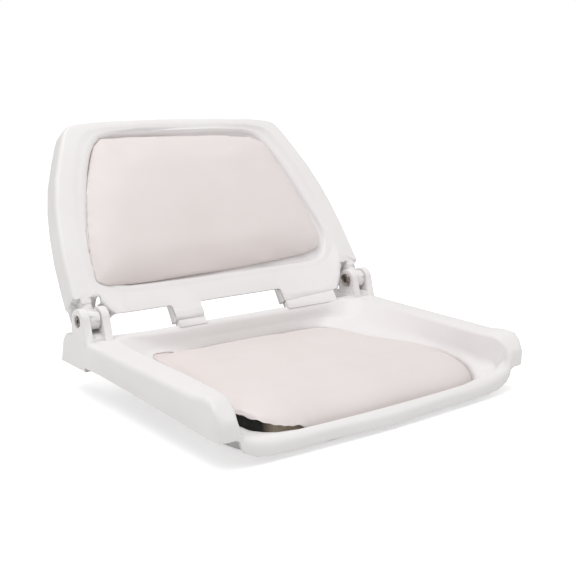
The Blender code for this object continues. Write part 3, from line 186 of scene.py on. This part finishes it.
BACK_SIZE = (0.200, 0.112)
BACK_MIDDLE = 0.155
BACK_ROLL = (0.022, 0.0085)

# Studio.
FLOOR_SIZE = 12.0
FLOOR_DROP = 0.0002
FLOOR_COLOUR = (0.82, 0.82, 0.82, 1.0)
FLOOR_GLOW = 0.50
SKY_LEVEL = 0.67
LIGHT_AIM = (0.0, 0.0, 0.1)
SOFTBOXES = (
    ("key_softbox", (-0.5, -0.2, 2.4), 2.2, 34.0),
    ("side_softbox", (2.0, -0.8, 1.4), 1.4, 2.5),
)


def link(name, mesh):
    obj = bpy.data.objects.new(name, mesh)
    bpy.context.scene.collection.objects.link(obj)
    return obj


def from_bmesh(name, bm):
    mesh = bpy.data.meshes.new(name)
    bm.to_mesh(mesh)
    bm.free()
    return link(name, mesh)


def applied(obj):
    """The object with its modifiers made part of its mesh."""
    graph = bpy.context.evaluated_depsgraph_get()
    graph.update()
    mesh = bpy.data.meshes.new_from_object(obj.evaluated_get(graph))
    name = obj.name
    bpy.data.objects.remove(obj)
    mesh.name = name
    return link(name, mesh)


def merged_copy(node, name):
    """A copy of a node's loose triangles, joined into one mesh."""
    bm = bmesh.new()
    bm.from_mesh(NODES[node].data)
    bmesh.ops.remove_doubles(bm, verts=bm.verts, dist=WELD)
    bmesh.ops.dissolve_degenerate(bm, dist=WELD, edges=bm.edges)
    return from_bmesh(name, bm)


def smooth(obj, angle=CREASE_ANGLE):
    obj.data.shade_smooth()
    obj.data.set_sharp_from_angle(angle=angle)


def soften(obj, width):
    """Takes the sharpness off the real edges, as tooling and wear do."""
    edge = obj.modifiers.new("softened_edges", "BEVEL")
    edge.width = width
    edge.segments = SOFTENING_SEGMENTS
    edge.limit_method = "ANGLE"
    edge.angle_limit = CREASE_ANGLE
    edge.harden_normals = True
    obj.data.shade_smooth()


def finish(obj, body, look, slot, *nodes):
    obj.data.materials.clear()
    obj.data.materials.append(look)
    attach(obj, body)
    if nodes:
        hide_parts(*nodes)
    return obj


# Shader helpers.


def new_look(name):
    look = bpy.data.materials.new(name)
    look.use_nodes = True
    return look, look.node_tree.nodes, look.node_tree.links


def new_group(name, inputs, outputs):
    group = bpy.data.node_groups.new(name, "ShaderNodeTree")
    for label, kind, value in inputs:
        made = group.interface.new_socket(name=label, in_out="INPUT", socket_type=kind)
        if value is not None:
            made.default_value = value
    for label, kind in outputs:
        group.interface.new_socket(name=label, in_out="OUTPUT", socket_type=kind)
    return group, group.nodes, group.links


def mottle_group():
    """Slow drift of colour over a surface, as in moulded plastic and stretched vinyl."""
    group, nodes, links = new_group(
        "mottle",
        [
            ("Vector", "NodeSocketVector", None),
            ("Colour", "NodeSocketColor", (0.8, 0.8, 0.8, 1.0)),
            ("Second Colour", "NodeSocketColor", (0.75, 0.75, 0.75, 1.0)),
            ("Scale", "NodeSocketFloat", 12.0),
        ],
        [("Colour", "NodeSocketColor"), ("Mask", "NodeSocketFloat")],
    )
    start = nodes.new("NodeGroupInput")
    end = nodes.new("NodeGroupOutput")
    cloud = nodes.new("ShaderNodeTexNoise")
    cloud.inputs["Detail"].default_value = 5.0
    cloud.inputs["Roughness"].default_value = 0.55
    spread = nodes.new("ShaderNodeMapRange")
    spread.inputs["From Min"].default_value = 0.35
    spread.inputs["From Max"].default_value = 0.65
    blend = nodes.new("ShaderNodeMix")
    blend.data_type = "RGBA"
    links.new(start.outputs["Vector"], cloud.inputs["Vector"])
    links.new(start.outputs["Scale"], cloud.inputs["Scale"])
    links.new(cloud.outputs["Fac"], spread.inputs["Value"])
    links.new(spread.outputs["Result"], blend.inputs["Factor"])
    links.new(start.outputs["Colour"], blend.inputs["A"])
    links.new(start.outputs["Second Colour"], blend.inputs["B"])
    links.new(blend.outputs["Result"], end.inputs["Colour"])
    links.new(spread.outputs["Result"], end.inputs["Mask"])
    return group


def grain_group():
    """Height of a fine pebbled grain with softer waves under it."""
    group, nodes, links = new_group(
        "grain",
        [
            ("Vector", "NodeSocketVector", None),
            ("Pebble Scale", "NodeSocketFloat", 900.0),
            ("Wave Scale", "NodeSocketFloat", 60.0),
            ("Wave Share", "NodeSocketFloat", 0.4),
        ],
        [("Height", "NodeSocketFloat")],
    )
    start = nodes.new("NodeGroupInput")
    end = nodes.new("NodeGroupOutput")
    pebble = nodes.new("ShaderNodeTexVoronoi")
    pebble.feature = "SMOOTH_F1"
    wave = nodes.new("ShaderNodeTexNoise")
    wave.inputs["Detail"].default_value = 3.0
    blend = nodes.new("ShaderNodeMix")
    links.new(start.outputs["Vector"], pebble.inputs["Vector"])
    links.new(start.outputs["Vector"], wave.inputs["Vector"])
    links.new(start.outputs["Pebble Scale"], pebble.inputs["Scale"])
    links.new(start.outputs["Wave Scale"], wave.inputs["Scale"])
    links.new(start.outputs["Wave Share"], blend.inputs["Factor"])
    links.new(pebble.outputs["Distance"], blend.inputs["A"])
    links.new(wave.outputs["Fac"], blend.inputs["B"])
    links.new(blend.outputs["Result"], end.inputs["Height"])
    return group


GROUPS = {"mottle": mottle_group(), "grain": grain_group()}


def surface_look(
    name, colour, second, roughness, mottle_scale, grain, bump, distance, metallic=0.0
):
    """A Principled look with drifting colour, uneven roughness and a grained surface."""
    look, nodes, links = new_look(name)
    shader = nodes["Principled BSDF"]
    shader.inputs["Metallic"].default_value = metallic
    place = nodes.new("ShaderNodeTexCoord")
    mottle = nodes.new("ShaderNodeGroup")
    mottle.node_tree = GROUPS["mottle"]
    mottle.inputs["Colour"].default_value = (*colour, 1.0)
    mottle.inputs["Second Colour"].default_value = (*second, 1.0)
    mottle.inputs["Scale"].default_value = mottle_scale
    texture = nodes.new("ShaderNodeGroup")
    texture.node_tree = GROUPS["grain"]
    for label, value in zip(("Pebble Scale", "Wave Scale", "Wave Share"), grain):
        texture.inputs[label].default_value = value
    gloss = nodes.new("ShaderNodeMapRange")
    gloss.inputs["To Min"].default_value = roughness[0]
    gloss.inputs["To Max"].default_value = roughness[1]
    relief = nodes.new("ShaderNodeBump")
    relief.inputs["Strength"].default_value = bump
    relief.inputs["Distance"].default_value = distance
    links.new(place.outputs["Object"], mottle.inputs["Vector"])
    links.new(place.outputs["Object"], texture.inputs["Vector"])
    links.new(mottle.outputs["Colour"], shader.inputs["Base Color"])
    links.new(mottle.outputs["Mask"], gloss.inputs["Value"])
    links.new(gloss.outputs["Result"], shader.inputs["Roughness"])
    links.new(texture.outputs["Height"], relief.inputs["Height"])
    links.new(relief.outputs["Normal"], shader.inputs["Normal"])
    return look


def paint_hem_shade_on_foam(look):
    """Foam that is black in the torn corner, with painted shade in brown-grey where the loose hem still covers it,
    standing for the shaded underside of the vinyl.
    """
    nodes, links = look.node_tree.nodes, look.node_tree.links
    colour = nodes["Principled BSDF"].inputs["Base Color"]
    place = nodes.new("ShaderNodeTexCoord")
    parts = nodes.new("ShaderNodeSeparateXYZ")
    share = nodes.new("ShaderNodeMapRange")
    share.inputs["From Min"].default_value = PAINTED_SHADE_SPAN[0]
    share.inputs["From Max"].default_value = PAINTED_SHADE_SPAN[1]
    # Painted shade: mixes in the brown-grey of the hem's shaded vinyl underside.
    blend = nodes.new("ShaderNodeMix")
    blend.data_type = "RGBA"
    blend.inputs["B"].default_value = (*HEM_UNDERSIDE_PAINTED_SHADE, 1.0)
    links.new(place.outputs["Object"], parts.inputs["Vector"])
    links.new(parts.outputs["X"], share.inputs["Value"])
    links.new(share.outputs["Result"], blend.inputs["Factor"])
    links.new(colour.links[0].from_socket, blend.inputs["A"])
    links.new(blend.outputs["Result"], colour)


def make_looks():
    return {
        "shell_plastic": surface_look(
            "shell_plastic", colour=(0.80, 0.775, 0.775), second=(0.775, 0.75, 0.745),
            roughness=(0.40, 0.50), mottle_scale=9.0, grain=(1400.0, 220.0, 0.35),
            bump=0.12, distance=0.0002,
        ),
        "cushion_vinyl": surface_look(
            "cushion_vinyl", colour=(0.745, 0.685, 0.668), second=(0.712, 0.652, 0.635),
            roughness=(0.42, 0.54), mottle_scale=7.0, grain=(1100.0, 90.0, 0.45),
            bump=0.22, distance=0.0003,
        ),
        "cushion_foam": surface_look(
            "cushion_foam", colour=(0.035, 0.035, 0.03), second=(0.02, 0.02, 0.018),
            roughness=(0.9, 1.0), mottle_scale=60.0, grain=(700.0, 300.0, 0.3),
            bump=0.8, distance=0.0008,
        ),
        "cushion_plywood": surface_look(
            "cushion_plywood", colour=(0.36, 0.22, 0.11), second=(0.25, 0.14, 0.07),
            roughness=(0.6, 0.8), mottle_scale=40.0, grain=(500.0, 120.0, 0.6),
            bump=0.3, distance=0.0004,
        ),
        "stainless_steel": surface_look(
            "stainless_steel", colour=(0.30, 0.26, 0.24), second=(0.22, 0.19, 0.17),
            roughness=(0.22, 0.38), mottle_scale=120.0, grain=(3000.0, 900.0, 0.6),
            bump=0.2, distance=0.0001, metallic=1.0,
        ),
        "black_screw": surface_look(
            "black_screw", colour=(0.17, 0.145, 0.14), second=(0.11, 0.09, 0.09),
            roughness=(0.25, 0.4), mottle_scale=150.0, grain=(3000.0, 900.0, 0.6),
            bump=0.2, distance=0.0001, metallic=0.6,
        ),
        "nylon_washer": surface_look(
            "nylon_washer", colour=(0.72, 0.71, 0.68), second=(0.66, 0.65, 0.62),
            roughness=(0.35, 0.5), mottle_scale=60.0, grain=(1500.0, 300.0, 0.5),
            bump=0.15, distance=0.0001,
        ),
    }


# Shells.


def moulded_skin(node, carve):
    """A merged copy of a moulded shell, shaded as one smooth moulding between its real edges."""
    skin = merged_copy(node, f"{node}_moulding")
    for vert in skin.data.vertices:
        carve(vert)
    smooth(skin)
    weigh = skin.modifiers.new("even_shading", "WEIGHTED_NORMAL")
    weigh.keep_sharp = True
    return skin


def square_the_noses(vert):
    """Makes the rails' front ends fuller and their inner walls steeper."""
    across, along, height = abs(vert.co.x), vert.co.y, vert.co.z
    forward = blend_share(-along, *NOSE_FORWARD)
    forward *= 1.0 - NOSE_TIP_EASE * blend_share(-along, *NOSE_TIP)
    outward = blend_share(across, *NOSE_SIDE)
    upward = blend_share(height, *NOSE_HEIGHT)
    vert.co.z += NOSE_RISE * forward * outward * upward
    out = blend_share(across, *NOSE_WALL_START) * (1.0 - blend_share(across, *NOSE_WALL_END))
    out *= 1.0 - blend_share(height, *NOSE_WALL_HEIGHT)
    moved = across + NOSE_WALL_SHIFT * out * blend_share(-along, *NOSE_WALL_FORWARD)
    vert.co.x = math.copysign(moved, vert.co.x)


def bring_the_panel_forward(vert):
    """Lays the backrest's panel almost level with its rim at the top and left."""
    place = BACK_FRAME.inverted() @ vert.co
    facing = BACK_FRAME.to_3x3().inverted() @ vert.normal
    outward = Vector((place.x, 0.0, place.z - BACK_MIDDLE)).normalized()
    if facing.dot(outward) > RIM_OUTER_WALL:
        return
    keep = PANEL_KEEP + (PANEL_RIGHT_KEEP - PANEL_KEEP) * blend_share(place.x, *PANEL_RIGHT)
    keep += (1.0 - keep) * (1.0 - blend_share(place.z, *PANEL_RISE))
    forward = (1.0 - keep) * (PANEL_DEPTH - FACE_DEPTH)
    if FACE_DEPTH < place.y <= PANEL_DEPTH:
        place.y -= forward * (place.y - FACE_DEPTH) / (PANEL_DEPTH - FACE_DEPTH)
    elif PANEL_DEPTH < place.y < RECESS_DEPTH:
        place.y -= forward * (RECESS_DEPTH - place.y) / (RECESS_DEPTH - PANEL_DEPTH)
    vert.co = BACK_FRAME @ place


# Cushions.


def outline_block(outline, base, top, inset=0.0):
    """A plain block with the cushion's outline."""
    bm = bmesh.new()
    foot = bm.faces.new([bm.verts.new((x, y, base)) for x, y in outline])
    if inset:
        bm.normal_update()
        ring = bmesh.ops.inset_region(
            bm, faces=[foot], thickness=inset, use_even_offset=True, use_boundary=True
        )
        bmesh.ops.delete(bm, geom=ring["faces"], context="FACES")
    raised = bmesh.ops.extrude_face_region(bm, geom=list(bm.faces))["geom"]
    lifted = [part for part in raised if isinstance(part, bmesh.types.BMVert)]
    bmesh.ops.translate(bm, verts=lifted, vec=(0.0, 0.0, top - base))
    bmesh.ops.recalc_face_normals(bm, faces=bm.faces)
    return bm


def padding_block(name, outline, base, top, inset=0.0):
    """The block meshed evenly, ready for rounding."""
    block = from_bmesh(name, outline_block(outline, base, top, inset))
    remesh = block.modifiers.new("voxel", "REMESH")
    remesh.mode = "VOXEL"
    remesh.voxel_size = CUSHION_VOXEL
    return applied(block)


def blend_share(value, start, end):
    """Nought before the start, one after the end and a smooth rise between them."""
    share = min(max((value - start) / (end - start), 0.0), 1.0)
    return share * share * (3.0 - 2.0 * share)


def edge_distance(outline, x, y):
    """How far a point of the cushion is from its outline."""
    nearest = math.inf
    for (ax, ay), (bx, by) in zip(outline, outline[1:] + outline[:1]):
        dx, dy = bx - ax, by - ay
        along = min(max(((x - ax) * dx + (y - ay) * dy) / (dx * dx + dy * dy), 0.0), 1.0)
        nearest = min(nearest, math.hypot(x - ax - along * dx, y - ay - along * dy))
    return nearest


def rolled_edge(outline, x, y, reach, drop):
    """How far the top has rolled down towards the cushion's edge."""
    share = max(0.0, 1.0 - edge_distance(outline, x, y) / reach)
    return drop * (1.0 - math.sqrt(1.0 - share * share))


def from_torn_corner(x, y):
    return math.hypot(x - TORN_CORNER[0], y - TORN_CORNER[1])


def seat_top(x, y):
    """Height of the seat cushion: a low crown, a big roll at the front and a raised left side."""
    across, along = x / SEAT_SIZE[0], y / SEAT_SIZE[1]
    height = SEAT_EDGE_HEIGHT + SEAT_CROWN * max(0.0, 1.0 - across**2) * max(0.0, 1.0 - along**2)
    height += SEAT_LEFT_RAISE * max(0.0, -across) ** 2
    front = blend_share(-y, 0.0, SEAT_SIZE[1])
    reach = REAR_ROLL[0] + (FRONT_ROLL[0] - REAR_ROLL[0]) * front
    drop = REAR_ROLL[1] + (FRONT_ROLL[1] - REAR_ROLL[1]) * front
    drop *= 1.0 - TORN_STIFFNESS * math.exp(-from_torn_corner(x, y) / TORN_SPREAD)
    return height - rolled_edge(SEAT_OUTLINE, x, y, reach, drop)


def seat_hem(x, y):
    """Lift of the seat cover's hem, which has torn loose and sprung up at the front left corner."""
    away = from_torn_corner(x, y)
    ragged = TORN_RAGGED * noise.noise(Vector((x, y, 0.0)) / TORN_TUFT)
    share = 1.0 - blend_share(away, *TORN_FADE)
    return (TORN_LIFT * math.exp(-away / TORN_REACH) + ragged) * share


def back_top(x, y):
    across, along = x / BACK_SIZE[0], (y - BACK_MIDDLE) / BACK_SIZE[1]
    height = BACK_EDGE_HEIGHT + BACK_CROWN * max(0.0, 1.0 - across**2) * max(0.0, 1.0 - along**2)
    return height - rolled_edge(BACK_OUTLINE, x, y, *BACK_ROLL)


def back_hem(x, y):
    return 0.0


def ease(pad, base, rounds):
    """Evens out everything above the pad's foot."""
    bm = bmesh.new()
    bm.from_mesh(pad.data)
    loose = [vert for vert in bm.verts if vert.co.z > base + FOOT_HEIGHT]
    for step in range(rounds):
        bmesh.ops.smooth_vert(
            bm, verts=loose, factor=EASE_SHARE, use_axis_x=True, use_axis_y=True, use_axis_z=True
        )
    bm.to_mesh(pad.data)
    bm.free()


def pad_out(pad, base, top, top_at, rounds):
    """Brings the block to the cushion's heights and rounds its edges."""
    for vert in pad.data.vertices:
        x, y, z = vert.co
        share = (z - base) / (top - base)
        vert.co.z = base + share * (top_at(x, y) - base)
        vert.co.x *= 1.0 - FOOT_PULL * max(0.0, 1.0 - share) ** 2
    ease(pad, base, rounds)


def fill_with_air(pad, base):
    """Air pressure swells the pad's skin a little, with its foot held still."""
    rest = [vert.co.copy() for vert in pad.data.vertices]
    held = pad.vertex_groups.new(name="held")
    for vert in pad.data.vertices:
        if vert.co.z < base + FOOT_HEIGHT:
            held.add([vert.index], 1.0, "REPLACE")
    cloth = pad.modifiers.new("cloth", "CLOTH")
    cloth.settings.use_pressure = True
    cloth.settings.uniform_pressure_force = CUSHION_PRESSURE
    cloth.settings.vertex_group_mass = "held"
    cloth.settings.effector_weights.gravity = 0.0
    scene = bpy.context.scene
    cloth.point_cache.frame_start = 1
    cloth.point_cache.frame_end = CUSHION_FRAMES
    for step in range(1, CUSHION_FRAMES + 1):
        scene.frame_set(step)
    pad = applied(pad)
    for vert, start in zip(pad.data.vertices, rest):
        move = vert.co - start
        spread = Vector((move.x, move.y))
        if spread.length > CUSHION_SPREAD_CAP:
            spread *= CUSHION_SPREAD_CAP / spread.length
        rise = min(max(move.z, -CUSHION_DIP_CAP), CUSHION_RISE_CAP)
        vert.co = start + Vector((spread.x, spread.y, rise))
    scene.frame_set(1)
    ease(pad, base, SETTLE_ROUNDS)
    return pad


def settle(pad, place, shell, clearance):
    """Lifts whatever part of the pad would cut into the shell until it lies on it."""
    surface = bmesh.new()
    surface.from_mesh(shell.data)
    tree = BVHTree.FromBMesh(surface)
    surface.free()
    out = (place.to_3x3() @ Vector((0.0, 0.0, 1.0))).normalized()
    back = place.inverted()
    for vert in pad.data.vertices:
        start = place @ Vector((vert.co.x, vert.co.y, ABOVE_ALL))
        hit = tree.ray_cast(start, -out)[0]
        if hit is not None:
            vert.co.z = max(vert.co.z, (back @ hit).z + clearance)


def foam_core(name, pad, base, place, shell):
    """The foam: the pad's own form below its skin, cut level above the board.

    A slanting limit on the left keeps it off the seat cushion's rear left corner.
    """
    bm = bmesh.new()
    bm.from_mesh(pad.data)
    bm.normal_update()
    for vert in bm.verts:
        vert.co -= vert.normal * FOAM_INSET
        bend = FOAM_LEFT_BEND - vert.co.y
        slope = FOAM_LEFT_SLOPES[0] if bend > 0.0 else FOAM_LEFT_SLOPES[1]
        vert.co.x = max(vert.co.x, -FOAM_LEFT_LIMIT - bend * slope)
    everything = [*bm.verts, *bm.edges, *bm.faces]
    bmesh.ops.bisect_plane(
        bm, geom=everything, plane_co=(0.0, 0.0, base), plane_no=(0.0, 0.0, 1.0), clear_inner=True
    )
    bmesh.ops.holes_fill(bm, edges=[edge for edge in bm.edges if edge.is_boundary])
    bmesh.ops.recalc_face_normals(bm, faces=bm.faces)
    core = from_bmesh(name, bm)
    settle(core, place, shell, COVER_CLEARANCE + COVER_THICKNESS)
    core.data.transform(place)
    smooth(core)
    return core


def vinyl_cover(pad, base, top_at, hem_at, place, shell):
    """The cover: the pad's skin, open at the back, with its hem down on the shell or sprung up."""
    bm = bmesh.new()
    bm.from_mesh(pad.data)
    bm.normal_update()
    foot = [face for face in bm.faces if face.normal.z < FOOT_FACING]
    bmesh.ops.delete(bm, geom=foot, context="FACES")
    hem = [vert for vert in bm.verts if vert.is_boundary]
    for step in range(HEM_ROUNDS):
        bmesh.ops.smooth_vert(bm, verts=hem, factor=EASE_SHARE, use_axis_x=True, use_axis_y=True)
    for vert in hem:
        vert.co.z = base
    for vert in bm.verts:
        x, y, z = vert.co
        share = min(max((z - base) / (top_at(x, y) - base), 0.0), 1.0)
        vert.co.z += hem_at(x, y) * (1.0 - share)
    bm.to_mesh(pad.data)
    bm.free()
    settle(pad, place, shell, COVER_CLEARANCE)
    pad.data.transform(place)
    finer = pad.modifiers.new("finer", "SUBSURF")
    finer.levels = finer.render_levels = 1
    wall = pad.modifiers.new("wall", "SOLIDIFY")
    wall.thickness = COVER_THICKNESS
    wall.offset = -1.0
    pad.data.shade_smooth()
    return pad


def trimmed_board(node, name, outline, board, place):
    """The backing board, trimmed to the cushion's outline."""
    low, high = board[0] - BOARD_EDGE, board[1] + BOARD_EDGE
    trim = from_bmesh("trim", outline_block(outline, low, high, BOARD_INSET))
    trim.data.transform(place)
    backing = merged_copy(node, name)
    cut = backing.modifiers.new("trim", "BOOLEAN")
    cut.operation = "INTERSECT"
    cut.solver = "EXACT"
    cut.object = trim
    backing = applied(backing)
    bpy.data.objects.remove(trim)
    return backing


# Hinge bolts, each turned as on a lathe from its inner end to its head.


def drawn_on(bm, end, rise):
    """Draws the end face on by the rise and leaves nothing of it inside."""
    made = bmesh.ops.extrude_face_region(bm, geom=[end])["geom"]
    bmesh.ops.delete(bm, geom=[end], context="FACES_ONLY")
    end = next(part for part in made if isinstance(part, bmesh.types.BMFace))
    bmesh.ops.translate(bm, verts=end.verts, vec=(0.0, 0.0, rise))
    return end


def turned(steps, sides=TURN_STEPS):
    """A round body: a disc that is drawn on through each radius and height in turn."""
    bm = bmesh.new()
    radius, height = steps[0]
    bmesh.ops.create_circle(bm, cap_ends=True, segments=sides, radius=radius)
    bmesh.ops.translate(bm, verts=bm.verts, vec=(0.0, 0.0, height))
    end = bm.faces[:][0]
    for next_radius, next_height in steps[1:]:
        end = drawn_on(bm, end, next_height - height)
        share = next_radius / radius
        bmesh.ops.scale(bm, verts=end.verts, vec=(share, share, 1.0))
        radius, height = next_radius, next_height
    return bm, end


def barrel_steps(node):
    """The barrel's steps, head at zero, from the bottom of its threaded bore round to its head."""
    low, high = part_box(node)
    length = high.x - low.x
    return (
        (BORE_RADIUS, BORE_DEPTH - length), (BORE_RADIUS, -length), (BARREL_RADIUS, -length),
        (BARREL_RADIUS, -BARREL_HEAD[1]), (BARREL_HEAD[0], -BARREL_HEAD[1]),
        (BARREL_HEAD[0], -BARREL_ROUND), (BARREL_HEAD[0] - BARREL_ROUND, 0.0),
    )


def six_sided(vert):
    """Moves a point on a circle in to the hexagon that the circle goes round."""
    turn = math.atan2(vert.co.y, vert.co.x) % SOCKET_SECTOR - SOCKET_SECTOR / 2
    share = math.cos(SOCKET_SECTOR / 2) / math.cos(turn)
    vert.co.x *= share
    vert.co.y *= share


def hinge_bolt(name, node, steps, socket, outward):
    """A bolt with a hexagon socket in its head, in the place of the plain one."""
    bm, end = turned([*steps, (socket[0], steps[-1][1])])
    for vert in end.verts:
        six_sided(vert)
    drawn_on(bm, end, -socket[1])
    bmesh.ops.holes_fill(bm, edges=[edge for edge in bm.edges if edge.is_boundary])
    bmesh.ops.recalc_face_normals(bm, faces=bm.faces)
    low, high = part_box(node)
    head = high.x if outward > 0 else low.x
    turn = Matrix.Rotation(math.radians(90) * outward, 4, "Y")
    place = Matrix.Translation((head, HINGE.y, HINGE.z)) @ turn
    bmesh.ops.transform(bm, matrix=place, verts=bm.verts)
    bolt = from_bmesh(name, bm)
    soften(bolt, EDGE_SOFTENING)
    return bolt


# Studio: white paper under the seat, soft light and the photograph's camera.


def make_floor():
    bm = bmesh.new()
    bmesh.ops.create_grid(bm, x_segments=1, y_segments=1, size=FLOOR_SIZE)
    floor = from_bmesh("floor", bm)
    floor.data.transform(Matrix.Translation((0.0, 0.0, CAD_BOX[0].z - FLOOR_DROP)))
    look, nodes, links = new_look("floor_paper")
    shader = nodes["Principled BSDF"]
    shader.inputs["Base Color"].default_value = FLOOR_COLOUR
    shader.inputs["Roughness"].default_value = 0.9
    shader.inputs["Emission Color"].default_value = (1.0, 1.0, 1.0, 1.0)
    ray = nodes.new("ShaderNodeLightPath")
    lift = nodes.new("ShaderNodeMath")
    lift.operation = "MULTIPLY"
    lift.inputs[1].default_value = FLOOR_GLOW
    seen = nodes.new("ShaderNodeMath")
    seen.operation = "MAXIMUM"
    links.new(ray.outputs["Is Camera Ray"], seen.inputs[0])
    links.new(ray.outputs["Is Glossy Ray"], seen.inputs[1])
    links.new(seen.outputs["Value"], lift.inputs[0])
    links.new(lift.outputs["Value"], shader.inputs["Emission Strength"])
    floor.data.materials.append(look)


def make_light():
    world = bpy.data.worlds.new("studio")
    bpy.context.scene.world = world
    world.use_nodes = True
    nodes = world.node_tree.nodes
    links = world.node_tree.links
    sky = nodes["Background"]
    sky.inputs["Color"].default_value = (1.0, 1.0, 1.0, 1.0)
    ray = nodes.new("ShaderNodeLightPath")
    seen = nodes.new("ShaderNodeMath")
    seen.operation = "MAXIMUM"
    level = nodes.new("ShaderNodeMapRange")
    level.inputs["To Min"].default_value = SKY_LEVEL
    level.inputs["To Max"].default_value = 1.0
    links.new(ray.outputs["Is Camera Ray"], seen.inputs[0])
    links.new(ray.outputs["Is Transmission Ray"], seen.inputs[1])
    links.new(seen.outputs["Value"], level.inputs["Value"])
    links.new(level.outputs["Result"], sky.inputs["Strength"])

    for name, place, size, power in SOFTBOXES:
        data = bpy.data.lights.new(name, "AREA")
        data.size = size
        data.energy = power
        lamp = bpy.data.objects.new(name, data)
        bpy.context.scene.collection.objects.link(lamp)
        lamp.location = place
        aim = Vector(LIGHT_AIM) - Vector(place)
        lamp.rotation_euler = aim.to_track_quat("-Z", "Y").to_euler()


def make_camera():
    data = bpy.data.cameras.new("camera")
    data.lens = CAMERA_LENS
    data.sensor_width = SENSOR_WIDTH
    data.clip_start = 0.01
    data.clip_end = 100.0
    camera = bpy.data.objects.new("camera", data)
    bpy.context.scene.collection.objects.link(camera)
    turn = Matrix.Rotation(-CAMERA_YAW, 4, "Z")
    tilt = Matrix.Rotation(math.radians(90) - CAMERA_PITCH, 4, "X")
    roll = Matrix.Rotation(CAMERA_ROLL, 4, "Z")
    camera.matrix_world = Matrix.Translation(CAMERA_PLACE) @ turn @ tilt @ roll
    bpy.context.scene.camera = camera


def finish_the_solids():
    """Gives every CAD piece its look, which shows on those that nothing replaces."""
    for row in frame["record"]["subparts"]:
        cad = NODES[row["node"]]
        cad.data.materials.clear()
        cad.data.materials.append(LOOKS[row["material_slot"]])


def make_shells():
    skins = {}
    for name, node, rider, carve in (
        ("seat", "seat_shell", "seat", square_the_noses),
        ("back", "backrest_shell", "backrest", bring_the_panel_forward),
    ):
        skins[name] = moulded_skin(node, carve)
        finish(skins[name], rider, LOOKS["shell_plastic"], "shell_plastic", node)
    return skins


def make_cushion(name, rider, outline, base, foam_base, edge, top_at, hem_at, place, shell):
    """A cushion's foam and cover, padded out and laid on its shell."""
    pad = padding_block(f"{name}_cushion_vinyl", outline, base, edge)
    pad_out(pad, base, edge, top_at, EDGE_ROUNDS)
    pad = fill_with_air(pad, base)
    core = foam_core(f"{name}_cushion_padding", pad, foam_base, place, shell)
    finish(core, rider, LOOKS["cushion_foam"], "cushion_foam", f"{name}_cushion_foam")
    cover = vinyl_cover(pad, base, top_at, hem_at, place, shell)
    finish(cover, rider, LOOKS["cushion_vinyl"], "cushion_vinyl", f"{name}_cushion_cover")


def make_hinge_bolts():
    for side, outward in (("left", 1), ("right", -1)):
        node = f"{side}_hinge_barrel"
        barrel = hinge_bolt(f"{node}_turned", node, barrel_steps(node), BARREL_SOCKET, outward)
        finish(barrel, "seat", LOOKS["stainless_steel"], "stainless_steel", node)
        node = f"{side}_hinge_screw"
        screw = hinge_bolt(f"{node}_turned", node, SCREW_STEPS, SCREW_SOCKET, -outward)
        finish(screw, "seat", LOOKS["black_screw"], "black_screw", node)


make_camera()
make_light()
make_floor()
LOOKS = make_looks()
paint_hem_shade_on_foam(LOOKS["cushion_foam"])
finish_the_solids()
SKINS = make_shells()
make_cushion(
    "seat", "seat", SEAT_OUTLINE, SEAT_BASE, SEAT_FOAM_BASE, SEAT_EDGE_HEIGHT,
    seat_top, seat_hem, Matrix(), SKINS["seat"],
)
make_cushion(
    "back", "backrest", BACK_OUTLINE, BACK_BASE, BACK_FOAM_BASE, BACK_EDGE_HEIGHT,
    back_top, back_hem, BACK_FRAME @ UPRIGHT, SKINS["back"],
)
backing = trimmed_board(
    "back_cushion_board", "back_cushion_backing", BACK_OUTLINE, BACK_BOARD, BACK_FRAME @ UPRIGHT
)
finish(backing, "backrest", LOOKS["cushion_plywood"], "cushion_plywood", "back_cushion_board")
make_hinge_bolts()

bpy.context.scene.view_settings.view_transform = "Standard"
